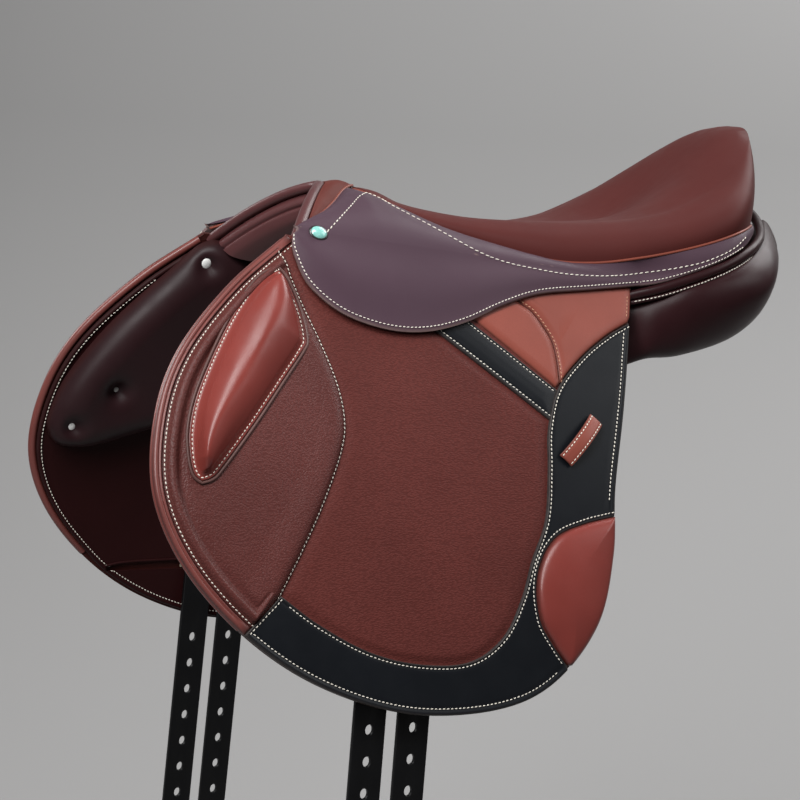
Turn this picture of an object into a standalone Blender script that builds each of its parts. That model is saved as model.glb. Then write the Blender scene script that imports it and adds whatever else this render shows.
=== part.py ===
"""Eventing saddle with one long flap on each side, built as the saddler builds it.

The near side is at -Y, the pommel at -X and +Z is up. The origin is on the centre plane, 110 mm below
the pommel. Leather for a flap is cut as a flat pattern, measured along the flap's top and down it, and is
then wrapped on to the flap's curve. Every near-side piece is mirrored to make its off-side twin.
"""

import math

import bmesh
import bpy
from mathutils import Matrix, Vector

GAP = 0.0004
SEAM = 0.0008

# The pommel arch's half width, and the half width that the stations below are drawn for: when the
# saddle is made wider or narrower, every distance across is let out or taken in with the arch
ARCH_HALF_WIDTH = 0.085
PATTERN_HALF_WIDTH = 0.085
LET_OUT = ARCH_HALF_WIDTH / PATTERN_HALF_WIDTH

# The flap's curved form, which all flap leather follows
FLAP_HALF_SPREAD = ARCH_HALF_WIDTH + 0.006
FLAP_TOP_HEIGHT = 0.070
FLAP_LEAN = math.radians(27)
FLAP_CURVE = 1.086
FLAP_YAW = math.radians(3)
FLAP_LEATHER = 0.003
LINING_LEATHER = 0.002
OVERLAY_LEATHER = 0.0018

# Flap edge, as (along, down) from the top front corner round to the top rear corner
FLAP_EDGE = (
    (-0.191, 0.008),
    (-0.246, 0.048),
    (-0.289, 0.098),
    (-0.310, 0.148),
    (-0.314, 0.203),
    (-0.293, 0.255),
    (-0.250, 0.303),
    (-0.196, 0.338),
    (-0.130, 0.359),
    (-0.060, 0.359),
    (-0.012, 0.341),
    (0.026, 0.300),
    (0.043, 0.248),
    (0.050, 0.197),
    (0.066, 0.134),
    (0.088, 0.045),
)
FRONT_ROLL_WIDTH = 0.013
FRONT_ROLL_HEIGHT = 0.0065

# The line on which flap and skirt lift, as (along, down) at its ends and its place out from the flap
LIFT_FRONT = (-0.197, 0.003)
LIFT_REAR = (0.093, 0.030)
LIFT_OUT = 0.0075
LIFT_CLEARANCE = 0.0006

# Stirrup bar
BAR_FRONT = -0.124
BAR_LENGTH = 0.084
BAR_DOWN = 0.030
BAR_HEIGHT = 0.012
BAR_BLADE = 0.0045
BAR_SLOT = 0.0085
BAR_BASE = 0.0035
BAR_OUT = 0.0048
BAR_NOTCH_CLEARANCE = 0.006
CATCH_LENGTH = 0.018
CATCH_WALL = 0.0038

# Skirt
SKIRT_LEATHER = 0.0032
SKIRT_LIFT_OFF = 0.0046
SKIRT_SWELL = 0.005
BAND_ACROSS = 4
BAND_OVER = 0.006
BAND_EASE = 0.0040
LOBE_DOWN = 5
SKIRT_EDGE = (
    (-0.1965, 0.006),
    (-0.198, 0.014),
    (-0.196, 0.026),
    (-0.186, 0.048),
    (-0.163, 0.068),
    (-0.130, 0.079),
    (-0.098, 0.080),
    (-0.065, 0.072),
    (-0.030, 0.057),
    (0.004, 0.046),
    (0.050, 0.0405),
    (0.088, 0.036),
)
SKIRT_TAIL = (
    (0.116, -0.1265, 0.0462),
    (0.156, -0.1330, 0.0612),
    (0.186, -0.1285, 0.0752),
    (0.207, -0.1105, 0.0862),
)

# Stations round the near half of the seat, from the pommel to the cantle:
# spine (x, z), rim (x, y, z) and welt (x, y, z)
SEAT_STATIONS = (
    ((-0.062, 0.0985), (-0.100, 0.000, 0.1090), (-0.109, 0.000, 0.1065)),
    ((-0.058, 0.0975), (-0.092, -0.010, 0.1070), (-0.104, -0.017, 0.1045)),
    ((-0.050, 0.0955), (-0.076, -0.021, 0.1010), (-0.086, -0.0375, 0.0955)),
    ((-0.038, 0.0925), (-0.052, -0.033, 0.0940), (-0.059, -0.0565, 0.0810)),
    ((-0.022, 0.0905), (-0.022, -0.044, 0.0885), (-0.0262, -0.0732, 0.0705)),
    ((0.000, 0.0885), (0.015, -0.056, 0.0865), (0.0225, -0.0952, 0.0583)),
    ((0.024, 0.0870), (0.055, -0.068, 0.0875), (0.0590, -0.1068, 0.0577)),
    ((0.048, 0.0860), (0.092, -0.080, 0.0915), (0.0950, -0.1170, 0.0635)),
    ((0.070, 0.0860), (0.128, -0.088, 0.1010), (0.1300, -0.1238, 0.0715)),
    ((0.088, 0.0870), (0.160, -0.089, 0.1165), (0.1600, -0.1265, 0.0800)),
    ((0.100, 0.0885), (0.186, -0.083, 0.1325), (0.1870, -0.1225, 0.0885)),
    ((0.108, 0.0900), (0.208, -0.070, 0.1490), (0.2110, -0.1045, 0.0945)),
    ((0.113, 0.0910), (0.230, -0.053, 0.1645), (0.2345, -0.0725, 0.0965)),
    ((0.116, 0.0915), (0.244, -0.028, 0.1780), (0.2500, -0.0380, 0.0980)),
    ((0.117, 0.0920), (0.249, 0.000, 0.1830), (0.2570, 0.0000, 0.0990)),
)
SEAT_LEATHER = 0.0018
FOAM_CLEARANCE = 0.0020
FOAM_START = 5
SEAT_STEPS = 2
SEAT_ACROSS = 5
SEAT_DOWN = 5
WELT_RADIUS = 0.0017

# Pommel arch: its front edge on the near side, and the piping behind it
ARCH_APEX = (-0.1345, 0.111)
ARCH_DROP = 0.046
ARCH_SWEEP = 0.68
ARCH_NOSE = 0.006
ARCH_POWER = 1.6
PIPING = (
    (-0.1885, -0.0865, 0.0690),
    (-0.170, -0.0680, 0.0760),
    (-0.152, -0.0500, 0.0840),
    (-0.132, -0.0260, 0.0968),
    (-0.1185, -0.0090, 0.1052),
    (-0.1140, 0.0000, 0.1078),
)
PIPING_STEPS = 3
PIPING_RADIUS = 0.0013
BINDING_RADIUS = 0.0042
BINDING_END = 0.008
FACING_DEPTH = 0.030
FACING_SINK = 0.0225
FACING_LEATHER = 0.0022

# Tree: the head's front x, its depth, and its outer face as y and z, from the centre down to the point
HEAD_STATIONS = (
    (-0.1225, 0.026, 0.000, 0.0985),
    (-0.1380, 0.028, 0.028, 0.0925),
    (-0.1500, 0.038, 0.050, 0.0815),
    (-0.1500, 0.084, 0.072, 0.0660),
    (-0.1410, 0.070, 0.083, 0.0480),
    (-0.1390, 0.050, 0.086, 0.0300),
    (-0.1390, 0.034, 0.088, 0.0100),
)
HEAD_WALL = 0.007
HEAD_FALL = 0.12
PLATE_WALL = 0.003
PLATE_DEPTH = 0.024
RAIL_THICKNESS = 0.009
RAIL_START = 0.30
RAIL_OUTER = 0.94
RAIL_INNER = 0.56
PAN_DEPTH = 0.022
WEB_THICKNESS = 0.0014

# Panel stations on the near side: x, then inner top, inner bottom, outer bottom, outer middle
# and outer top as (y, z)
PANEL_STATIONS = (
    (-0.132, (-0.040, 0.066), (-0.042, 0.050), (-0.064, 0.024), (-0.070, 0.034), (-0.070, 0.046)),
    (-0.110, (-0.037, 0.062), (-0.039, 0.036), (-0.071, -0.002), (-0.0735, 0.018), (-0.0695, 0.042)),
    (-0.070, (-0.036, 0.056), (-0.039, 0.018), (-0.078, -0.028), (-0.0795, 0.004), (-0.0725, 0.038)),
    (-0.020, (-0.036, 0.050), (-0.039, 0.004), (-0.098, -0.037), (-0.101, 0.000), (-0.090, 0.036)),
    (0.035, (-0.036, 0.046), (-0.039, -0.003), (-0.106, -0.035), (-0.108, 0.000), (-0.098, 0.032)),
    (0.078, (-0.036, 0.047), (-0.040, 0.000), (-0.109, -0.027), (-0.109, 0.001), (-0.097, 0.028)),
    (0.096, (-0.036, 0.048), (-0.040, 0.003), (-0.113, -0.021), (-0.116, 0.004), (-0.106, 0.0275)),
    (0.112, (-0.036, 0.050), (-0.040, 0.007), (-0.116, -0.016), (-0.127, 0.009), (-0.117, 0.0330)),
    (0.140, (-0.037, 0.054), (-0.042, 0.013), (-0.118, -0.012), (-0.134, 0.016), (-0.126, 0.0425)),
    (0.185, (-0.040, 0.064), (-0.045, 0.028), (-0.116, 0.002), (-0.137, 0.036), (-0.124, 0.0600)),
    (0.216, (-0.046, 0.075), (-0.050, 0.042), (-0.110, 0.020), (-0.129, 0.050), (-0.106, 0.0735)),
    (0.240, (-0.050, 0.084), (-0.055, 0.053), (-0.086, 0.036), (-0.105, 0.064), (-0.083, 0.0850)),
    (0.256, (-0.052, 0.090), (-0.058, 0.066), (-0.068, 0.058), (-0.079, 0.074), (-0.066, 0.0935)),
)
GUSSET_LINE = (
    (0.094, -0.1175, 0.0338),
    (0.116, -0.1245, 0.0400),
    (0.156, -0.1300, 0.0548),
    (0.190, -0.1240, 0.0682),
    (0.217, -0.1070, 0.0800),
    (0.240, -0.0840, 0.0920),
    (0.255, -0.0600, 0.1025),
    (0.2655, -0.0360, 0.1090),
)
GUSSET_RADIUS = 0.0048
PANEL_ROUND = 0.006

# Billets
BILLET_WIDTH = 0.025
BILLET_LEATHER = 0.0038
BILLET_ALONG = (-0.148, -0.118)
BILLET_HOLES = 9
BILLET_PITCH = 0.0254
BILLET_HOLE = 0.004
BILLET_FIRST_HOLE = 0.074
BILLET_TIP = 0.034
BILLET_LEAN_OUT = math.radians(1.5)
BILLET_LEAN_FORWARD = math.radians(2.6)
SLOT_ALONG = (-0.236, -0.076)
SLOT_DOWN = 0.303
SLOT_HEIGHT = 0.008
WEB_ALONG = (-0.166, -0.100)
WEB_TOP = 0.052
WEB_SPACE = 0.0021
LINING_INSET = 0.0025
LINING_TOP = ((0.0830, 0.049), (-0.1370, 0.049), (-0.1460, 0.014), (-0.1850, 0.0135))

# Overlays on the flap, as (along, down)
GUARD_INNER = (
    (-0.2235, 0.2705),
    (-0.190, 0.298),
    (-0.141, 0.317),
    (-0.098, 0.320),
    (-0.066, 0.307),
    (-0.042, 0.281),
    (-0.025, 0.240),
    (-0.010, 0.190),
    (-0.006, 0.156),
    (0.004, 0.121),
    (0.022, 0.096),
    (0.046, 0.078),
    (0.0755, 0.0665),
)
GUARD_START = 0.15
HALF_MOON_INNER = (
    (0.044, 0.219),
    (0.022, 0.222),
    (0.002, 0.233),
    (-0.015, 0.251),
    (-0.022, 0.277),
    (-0.019, 0.302),
    (-0.001, 0.328),
)
KNEE_SEAM = (
    (-0.1970, 0.0312),
    (-0.1945, 0.046),
    (-0.1860, 0.070),
    (-0.1730, 0.110),
    (-0.1675, 0.150),
    (-0.1760, 0.184),
    (-0.1940, 0.220),
    (-0.2255, 0.2675),
)
KNEE_BLOCK_FRONT = (
    (-0.209, 0.033),
    (-0.226, 0.041),
    (-0.250, 0.070),
    (-0.272, 0.105),
    (-0.288, 0.142),
    (-0.295, 0.178),
    (-0.290, 0.196),
    (-0.281, 0.198),
)
KNEE_BLOCK_REAR = (
    (-0.281, 0.198),
    (-0.263, 0.181),
    (-0.238, 0.144),
    (-0.212, 0.114),
    (-0.196, 0.095),
    (-0.196, 0.080),
    (-0.203, 0.050),
    (-0.209, 0.033),
)
KNEE_BLOCK_RIDGE = ((-0.207, 0.060), (-0.248, 0.112), (-0.286, 0.186))
KNEE_BLOCK_HEIGHT = 0.016
STRAP_LOWER = ((-0.1040, 0.0620), (-0.0052, 0.1445))
STRAP_UPPER = ((-0.0840, 0.0475), (0.0058, 0.1150))
KEEPER_ENDS = ((0.041, 0.143), (0.0085, 0.1745))
KEEPER_WIDTH = 0.0135
KEEPER_RISE = 0.0062
KEEPER_LEATHER = 0.0022
SIDE_PANEL_HEIGHT = 0.0022
SIDE_PANEL_TOP = ((0.0855, 0.0375), (0.010, 0.0375), (-0.040, 0.0420), (-0.0815, 0.0480))
HALF_MOON_HEIGHT = 0.006
KNEE_PANEL_HEIGHT = 0.0032

# Point pad on the inside of the flap
POINT_PAD = (
    (-0.205, 0.030),
    (-0.197, 0.019),
    (-0.180, 0.014),
    (-0.160, 0.020),
    (-0.150, 0.034),
    (-0.156, 0.070),
    (-0.176, 0.130),
    (-0.208, 0.183),
    (-0.244, 0.198),
    (-0.280, 0.198),
    (-0.297, 0.178),
    (-0.294, 0.148),
    (-0.276, 0.112),
    (-0.246, 0.072),
    (-0.222, 0.046),
)
POINT_PAD_HEIGHT = 0.022
POINT_TUFTS = ((-0.187, 0.031), (-0.246, 0.150), (-0.278, 0.180))
TUFT_RADIUS = 0.011
TUFT_DEPTH = 0.72

# Dee ring on the front of the flap, under the skirt
DEE_ALONG = -0.168
DEE_DOWN = 0.030
DEE_WIRE = 0.0016
DEE_HALF_WIDTH = 0.012
DEE_DROP = 0.016
DEE_SHOULDER = 0.004
CHAPE_WIDTH = 0.015
CHAPE_LEATHER = 0.0014
CHAPE_RISE = 0.013

STUD_PLACE = (-0.1655, -0.0840, 0.0735)
STUD_CLEARANCE = 0.0006
STUD_RADIUS = 0.0075
STUD_OVAL = 0.78
STUD_HEIGHT = 0.0026

SIDES = ("near", "off")


for item in list(bpy.data.objects):
    bpy.data.objects.remove(item)
SADDLE = bpy.data.collections.new("eventing_saddle")
CUTTERS = bpy.data.collections.new("cutters")
bpy.context.scene.collection.children.link(SADDLE)
bpy.context.scene.collection.children.link(CUTTERS)


def make_finish(name, color, roughness, metallic=0.0):
    """A plain leather or metal finish."""
    finish = bpy.data.materials.new(name)
    finish.use_nodes = True
    shader = finish.node_tree.nodes["Principled BSDF"]
    shader.inputs["Base Color"].default_value = (*color, 1.0)
    shader.inputs["Roughness"].default_value = roughness
    shader.inputs["Metallic"].default_value = metallic
    finish.diffuse_color = (*color, 1.0)
    return finish


def let_out(point):
    """A station's point, moved out or in with the width of the arch."""
    return Vector((point[0], point[1] * LET_OUT, point[2]))


def smooth_run(points, steps):
    """A smooth open curve through the points, in two or three dimensions."""
    count = len(points)
    ends = [tuple(2 * a - b for a, b in zip(points[0], points[1]))]
    ends.extend(points)
    ends.append(tuple(2 * a - b for a, b in zip(points[-1], points[-2])))
    run = []
    for span in range(count - 1):
        before, start, end, after = ends[span : span + 4]
        for step in range(steps):
            k = step / steps
            run.append(
                tuple(
                    0.5
                    * (
                        2 * b
                        + (c - a) * k
                        + (2 * a - 5 * b + 4 * c - d) * k * k
                        + (3 * b - a - 3 * c + d) * k**3
                    )
                    for a, b, c, d in zip(before, start, end, after)
                )
            )
    run.append(tuple(points[-1]))
    return run


def blend_points(first, second, share):
    """The point that lies this share of the way from the first to the second."""
    return tuple(Vector(first).lerp(Vector(second), share))


def flap_point(along, down, out):
    """The place of a pattern point on the near flap, this far out from its leather's face."""
    lean = FLAP_LEAN - down / FLAP_CURVE
    width = FLAP_HALF_SPREAD + FLAP_CURVE * (math.cos(lean) - math.cos(FLAP_LEAN))
    height = FLAP_TOP_HEIGHT - FLAP_CURVE * (math.sin(FLAP_LEAN) - math.sin(lean))
    width += out * math.cos(lean) + along * math.sin(FLAP_YAW)
    height += out * math.sin(lean)
    return Vector((along * math.cos(FLAP_YAW), -width, height))


def lift_down(along):
    """How far down the lift line is at this place along the flap."""
    share = (along - LIFT_FRONT[0]) / (LIFT_REAR[0] - LIFT_FRONT[0])
    return LIFT_FRONT[1] + share * (LIFT_REAR[1] - LIFT_FRONT[1])


def arch_edge(across, back, sink):
    """The pommel arch at this distance across, moved back from its front edge and sunk below it."""
    width = abs(across)
    ahead = ARCH_APEX[0] - ARCH_SWEEP * (math.hypot(width / LET_OUT, ARCH_NOSE) - ARCH_NOSE)
    height = ARCH_APEX[1] - ARCH_DROP * (width / ARCH_HALF_WIDTH) ** ARCH_POWER
    slope = ARCH_DROP * ARCH_POWER * (width / ARCH_HALF_WIDTH) ** (ARCH_POWER - 1) / ARCH_HALF_WIDTH
    lean = math.atan(slope)
    inward = -math.copysign(1, across) if across else 0.0
    return Vector(
        (ahead + back, across + inward * sink * math.sin(lean), height - sink * math.cos(lean))
    )


def close_mesh(name, mesh, finish, smooth=40):
    """Turn a bmesh into an object, with its faces outwards and its round faces smooth."""
    bmesh.ops.remove_doubles(mesh, verts=mesh.verts, dist=1e-6)
    bmesh.ops.recalc_face_normals(mesh, faces=mesh.faces)
    return keep_mesh(name, mesh, finish, smooth)


def keep_mesh(name, mesh, finish, smooth):
    """Put a bmesh into the saddle's collection as an object."""
    data = bpy.data.meshes.new(name)
    mesh.to_mesh(data)
    mesh.free()
    data.shade_smooth()
    data.set_sharp_from_angle(angle=math.radians(smooth))
    data.materials.append(finish)
    item = bpy.data.objects.new(name, data)
    SADDLE.objects.link(item)
    return item


def loft(name, rings, finish, closed=False, smooth=40):
    """A solid through rings of equal count. Its ends are capped unless the rings close on themselves."""
    mesh = bmesh.new()
    rows = [[mesh.verts.new(point) for point in ring] for ring in rings]
    count = len(rows[0])
    pairs = list(zip(rows, rows[1:]))
    if closed:
        pairs.append((rows[-1], rows[0]))
    for first, second in pairs:
        for i in range(count):
            j = (i + 1) % count
            mesh.faces.new((first[i], first[j], second[j], second[i]))
    if not closed:
        mesh.faces.new(rows[0])
        mesh.faces.new(list(reversed(rows[-1])))
    return close_mesh(name, mesh, finish, smooth)


def sheet_solid(name, grid, thickness, finish, outward, halved=False, smooth=40):
    """A sheet of leather on a grid of points of its outer face, with its thickness to the other side."""
    mesh = bmesh.new()
    rows = [[mesh.verts.new(point) for point in row] for row in grid]
    for first, second in zip(rows, rows[1:]):
        for i in range(len(first) - 1):
            mesh.faces.new((first[i], first[i + 1], second[i + 1], second[i]))
    bmesh.ops.remove_doubles(mesh, verts=mesh.verts, dist=2e-5)
    mesh.normal_update()
    if sum((face.normal * face.calc_area()).dot(Vector(outward)) for face in mesh.faces) < 0:
        bmesh.ops.reverse_faces(mesh, faces=mesh.faces)
    item = keep_mesh(name, mesh, finish, smooth)
    if halved:
        mirror_modifier(item)
    solid = item.modifiers.new("leather", "SOLIDIFY")
    solid.thickness = thickness
    solid.offset = -1
    solid.use_even_offset = True
    return item


def edge_distance(point, outline):
    """The distance from a pattern point to the pattern's edge."""
    least = math.inf
    for start, end in zip(outline, outline[1:] + outline[:1]):
        edge = (end[0] - start[0], end[1] - start[1])
        length = edge[0] ** 2 + edge[1] ** 2
        if length == 0:
            continue
        k = ((point[0] - start[0]) * edge[0] + (point[1] - start[1]) * edge[1]) / length
        k = min(1, max(0, k))
        gap = math.hypot(point[0] - start[0] - k * edge[0], point[1] - start[1] - k * edge[1])
        least = min(least, gap)
    return least


def cut_pattern(outline, step, rings=()):
    """A flat pattern as a bmesh, cut across so that it can follow the flap's curve."""
    mesh = bmesh.new()
    face = mesh.faces.new([mesh.verts.new((along, down, 0)) for along, down in outline])
    inner = [face]
    for ring in rings:
        bmesh.ops.inset_region(mesh, faces=inner, thickness=ring, use_even_offset=True)
        inner = [f for f in inner if f.is_valid]
    for axis in (0, 1):
        lows = min(point[axis] for point in outline)
        highs = max(point[axis] for point in outline)
        count = max(1, round((highs - lows) / step[axis]))
        for cut in range(1, count):
            place = Vector((0, 0, 0))
            place[axis] = lows + (highs - lows) * cut / count
            normal = Vector((0, 0, 0))
            normal[axis] = 1
            bmesh.ops.bisect_plane(
                mesh,
                geom=mesh.verts[:] + mesh.edges[:] + mesh.faces[:],
                plane_co=place,
                plane_no=normal,
                dist=0.0006,
            )
    bmesh.ops.triangulate(mesh, faces=mesh.faces)
    return mesh


def wrap_piece(name, outline, back, face, finish, step=(0.05, 0.03), rings=(), crown=None):
    """Leather cut to a flap pattern and wrapped on the flap, from the back out to the face.

    A crown, where there is one, adds height to the face from the pattern point and its distance to the edge.
    """
    mesh = cut_pattern(outline, step, rings)
    lower = list(mesh.verts)
    grown = bmesh.ops.extrude_face_region(mesh, geom=mesh.faces[:])
    upper = {item for item in grown["geom"] if isinstance(item, bmesh.types.BMVert)}
    for vert in lower:
        vert.co = flap_point(vert.co.x, vert.co.y, back)
    for vert in upper:
        height = face
        if crown:
            height += crown((vert.co.x, vert.co.y), edge_distance((vert.co.x, vert.co.y), outline))
        vert.co = flap_point(vert.co.x, vert.co.y, height)
    return close_mesh(name, mesh, finish)


def round_over(gap, reach):
    """A quarter round that rises from 0 at the edge to 1 at this reach from it."""
    k = min(1, gap / reach)
    return math.sqrt(1 - (1 - k) ** 2)


def without_doubles(outline):
    """The outline with no point that repeats the one before it."""
    kept = []
    for point in outline:
        if not kept or math.dist(kept[-1], point) > 1e-5:
            kept.append(tuple(point))
    if math.dist(kept[0], kept[-1]) < 1e-5:
        kept.pop()
    return kept


def inset_run(points, inward, steps):
    """The run moved sideways by this much, to the left of its direction."""
    run = smooth_run(points, steps)
    moved = []
    for i, point in enumerate(run):
        before = run[max(0, i - 1)]
        after = run[min(len(run) - 1, i + 1)]
        length = math.dist(before, after)
        moved.append(
            (
                point[0] + inward * (after[1] - before[1]) / length,
                point[1] - inward * (after[0] - before[0]) / length,
            )
        )
    return moved


def tube(name, points, radius, finish, sides=2):
    """A round cord of leather or wire through the points, with closed ends."""
    curve = bpy.data.curves.new(name, "CURVE")
    curve.dimensions = "3D"
    curve.bevel_depth = radius
    curve.bevel_resolution = sides
    curve.use_fill_caps = True
    spline = curve.splines.new("POLY")
    spline.points.add(len(points) - 1)
    for place, point in zip(spline.points, points):
        place.co = (*point, 1)
    curve.materials.append(finish)
    item = bpy.data.objects.new(name, curve)
    SADDLE.objects.link(item)
    return item


def to_mesh(item):
    """Replace a curve by its welded mesh, so that it can be mirrored."""
    bpy.context.view_layer.update()
    graph = bpy.context.evaluated_depsgraph_get()
    data = bpy.data.meshes.new_from_object(item.evaluated_get(graph))
    mesh = bmesh.new()
    mesh.from_mesh(data)
    bmesh.ops.remove_doubles(mesh, verts=mesh.verts, dist=1e-6)
    mesh.to_mesh(data)
    mesh.free()
    data.shade_smooth()
    data.set_sharp_from_angle(angle=math.radians(50))
    name = item.name
    matrix = item.matrix_world.copy()
    bpy.data.objects.remove(item)
    made = bpy.data.objects.new(name, data)
    made.matrix_world = matrix
    SADDLE.objects.link(made)
    return made


def mirror_piece(item):
    """The off-side twin of a near-side piece."""
    data = item.data.copy()
    data.transform(item.matrix_world)
    data.transform(Matrix.Scale(-1, 4, (0, 1, 0)))
    data.flip_normals()
    data.name = item.name.replace("_near", "_off")
    twin = bpy.data.objects.new(data.name, data)
    SADDLE.objects.link(twin)
    return twin


def hang_on(items, empty):
    """Parent pieces to a joint's empty and leave them where they are."""
    bpy.context.view_layer.update()
    for item in items:
        item.parent = empty
        item.matrix_parent_inverse = empty.matrix_world.inverted()


def joint_empty(name, start, end, parent=None):
    """An empty at the middle of a joint's axis, with its X along the axis."""
    empty = bpy.data.objects.new(name, None)
    empty.empty_display_size = 0.03
    direction = Vector(end) - Vector(start)
    empty.rotation_mode = "QUATERNION"
    empty.rotation_quaternion = direction.to_track_quat("X", "Z")
    empty.location = blend_points(start, end, 0.5)
    SADDLE.objects.link(empty)
    if parent:
        hang_on([empty], parent)
    return empty


def off(point):
    """The off-side mirror of a near-side point."""
    return Vector((point[0], -point[1], point[2]))


def pommel_line():
    """The near half of the piping behind the pommel cover, from the lift line to the centre."""
    return smooth_run([let_out(point) for point in PIPING], PIPING_STEPS)


def seat_columns():
    """Spine, rim and welt points round the near half of the seat, as three runs of equal count."""
    spine = smooth_run([(x, 0.0, z) for (x, z), _, _ in SEAT_STATIONS], SEAT_STEPS)
    rim = smooth_run([let_out(point) for _, point, _ in SEAT_STATIONS], SEAT_STEPS)
    welt = smooth_run([let_out(point) for _, _, point in SEAT_STATIONS], SEAT_STEPS)
    return spine, rim, welt


def seat_section(spine, rim, welt, share):
    """Points across the seat from its spine over the rim to the welt."""
    spine, rim, welt = Vector(spine), Vector(rim), Vector(welt)
    foot = welt + (rim - welt).normalized() * (WELT_RADIUS + SEAM)
    outward = Vector((foot.x - rim.x, foot.y - rim.y, 0))
    reach = outward.length
    outward.normalize()
    drop = rim.z - foot.z
    bulge = 0.0015 + 0.0085 * share
    points = []
    for step in range(SEAT_ACROSS):
        k = step / SEAT_ACROSS
        eased = k * k * (3 - 2 * k)
        point = spine.lerp(rim, k)
        point.z = spine.z + (rim.z - spine.z) * eased
        points.append(point)
    shoulder = rim + outward * (0.62 * reach + 0.4 * bulge)
    side = foot + Vector((0, 0, 0.5 * drop)) + outward * bulge
    for step in range(SEAT_DOWN + 1):
        k = step / SEAT_DOWN
        points.append(
            rim * (1 - k) ** 3
            + shoulder * 3 * k * (1 - k) ** 2
            + side * 3 * k * k * (1 - k)
            + foot * k**3
        )
    return points


def seat_grid(inset):
    """The near half of the seat's top as rows of points, this far inside its leather's face."""
    spine, rim, welt = seat_columns()
    last = len(rim) - 1
    grid = [seat_section(spine[i], rim[i], welt[i], (i / last) ** 1.5) for i in range(last + 1)]
    if inset == 0:
        return grid
    moved = []
    for i, row in enumerate(grid):
        before, after = grid[max(0, i - 1)], grid[min(last, i + 1)]
        line = []
        for j, point in enumerate(row):
            side = row[min(len(row) - 1, j + 1)] - row[max(0, j - 1)]
            length = after[j] - before[j]
            normal = side.cross(length)
            if i in (0, last):
                normal.y = 0
            if j == 0:
                normal = Vector((0, 0, 1))
            normal.normalize()
            if normal.z < 0 and j < SEAT_ACROSS + 2:
                normal.negate()
            line.append(point - normal * inset)
        moved.append(line)
    return moved


def pan_point(spine, welt, share):
    """A point of the seat pan, under the foam, this share of the way from its centre to the welt."""
    low = Vector((spine[0], 0, spine[2] - PAN_DEPTH))
    edge = Vector(welt)
    return low.lerp(edge, share)


def mirror_modifier(item):
    """Make the other half of a piece that is open at the centre plane."""
    mirror = item.modifiers.new("other half", "MIRROR")
    mirror.use_axis = (False, True, False)
    mirror.use_clip = True
    mirror.merge_threshold = 0.00005
    return item


def build_seat(finishes):
    """Seat leather, the foam under it and the piped welt round its edge."""
    sheet_solid("seat_cover", seat_grid(0), SEAT_LEATHER, finishes["seat"], (0, 0, 1), halved=True)
    spine, _, welt = seat_columns()
    mesh = bmesh.new()
    rows = []
    for i, row in enumerate(seat_grid(SEAT_LEATHER + FOAM_CLEARANCE)):
        line = list(row)
        for share in (0.93, 0.7, 0.4, 0.0):
            low = pan_point(spine[i], welt[i], share)
            low.z += WEB_THICKNESS + FOAM_CLEARANCE
            line.append(low)
        rows.append([mesh.verts.new(point) for point in line])
    rows = rows[FOAM_START:]
    mesh.faces.new(rows[0])
    for first, second in zip(rows, rows[1:]):
        for i in range(len(first) - 1):
            mesh.faces.new((first[i], first[i + 1], second[i + 1], second[i]))
    bmesh.ops.delete(mesh, geom=[vert for vert in mesh.verts if not vert.link_faces], context="VERTS")
    mirror_modifier(close_mesh("seat_foam", mesh, finishes["foam"]))
    loop = [Vector(point) for point in welt] + [off(point) for point in reversed(welt[1:-1])]
    piping = tube("seat_welt", loop, WELT_RADIUS, finishes["piping"], sides=1)
    piping.data.splines[0].use_cyclic_u = True


def build_tree(finishes):
    """Laminated head and rails, the steel plate under the head, and the webs that carry the seat."""
    spine, _, welt = seat_columns()
    last = len(welt) - 1
    rings = []
    for i in range(round(RAIL_START * last), last + 1):
        low = Vector((0, 0, -RAIL_THICKNESS))
        outer = pan_point(spine[i], welt[i], RAIL_OUTER) - Vector((0, 0, GAP))
        inner = pan_point(spine[i], welt[i], RAIL_INNER) - Vector((0, 0, GAP))
        rings.append([inner, outer, outer + low * 0.8, inner + low])
    rings += [[off(point) for point in ring] for ring in reversed(rings[:-1])]
    loft("tree_rails", rings, finishes["wood"])
    for name, sink, wall, limit, finish, used in (
        ("tree_head", 0.0, HEAD_WALL, 1.0, "wood", 13),
        ("gullet_plate", HEAD_WALL + GAP, PLATE_WALL, PLATE_DEPTH, "steel", 11),
    ):
        half = [head_ring(i, sink, wall, limit) for i in range(used)]
        loft(name, [[off(point) for point in ring] for ring in reversed(half[1:])] + half, finishes[finish])
    grid = []
    for i in range(round(0.24 * last), last - 1, 2):
        lift = Vector((0, 0, WEB_THICKNESS + GAP / 2))
        grid.append([pan_point(spine[i], welt[i], 0.7 * k / 3) + lift for k in range(4)])
    sheet_solid("seat_webs", grid, WEB_THICKNESS, finishes["web"], (0, 0, 1), halved=True)


def head_ring(index, sink, wall, limit):
    """One section of the tree's head on the near side, this far inside its outer face."""
    outline = smooth_run(HEAD_STATIONS, 2)
    front, depth, across, height = outline[index]
    across *= LET_OUT
    before, after = outline[max(0, index - 1)], outline[min(len(outline) - 1, index + 1)]
    side = Vector((0, LET_OUT * (before[2] - after[2]), after[3] - before[3])).normalized()
    inward = Vector((0, -side.z, side.y)) if index else Vector((0, 0, -1))
    reach = min(depth, limit)
    top = Vector((front, -across, height)) + inward * sink
    rear = top + Vector((reach, 0, -HEAD_FALL * reach))
    return [top, rear, rear + inward * wall, top + inward * wall]


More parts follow.
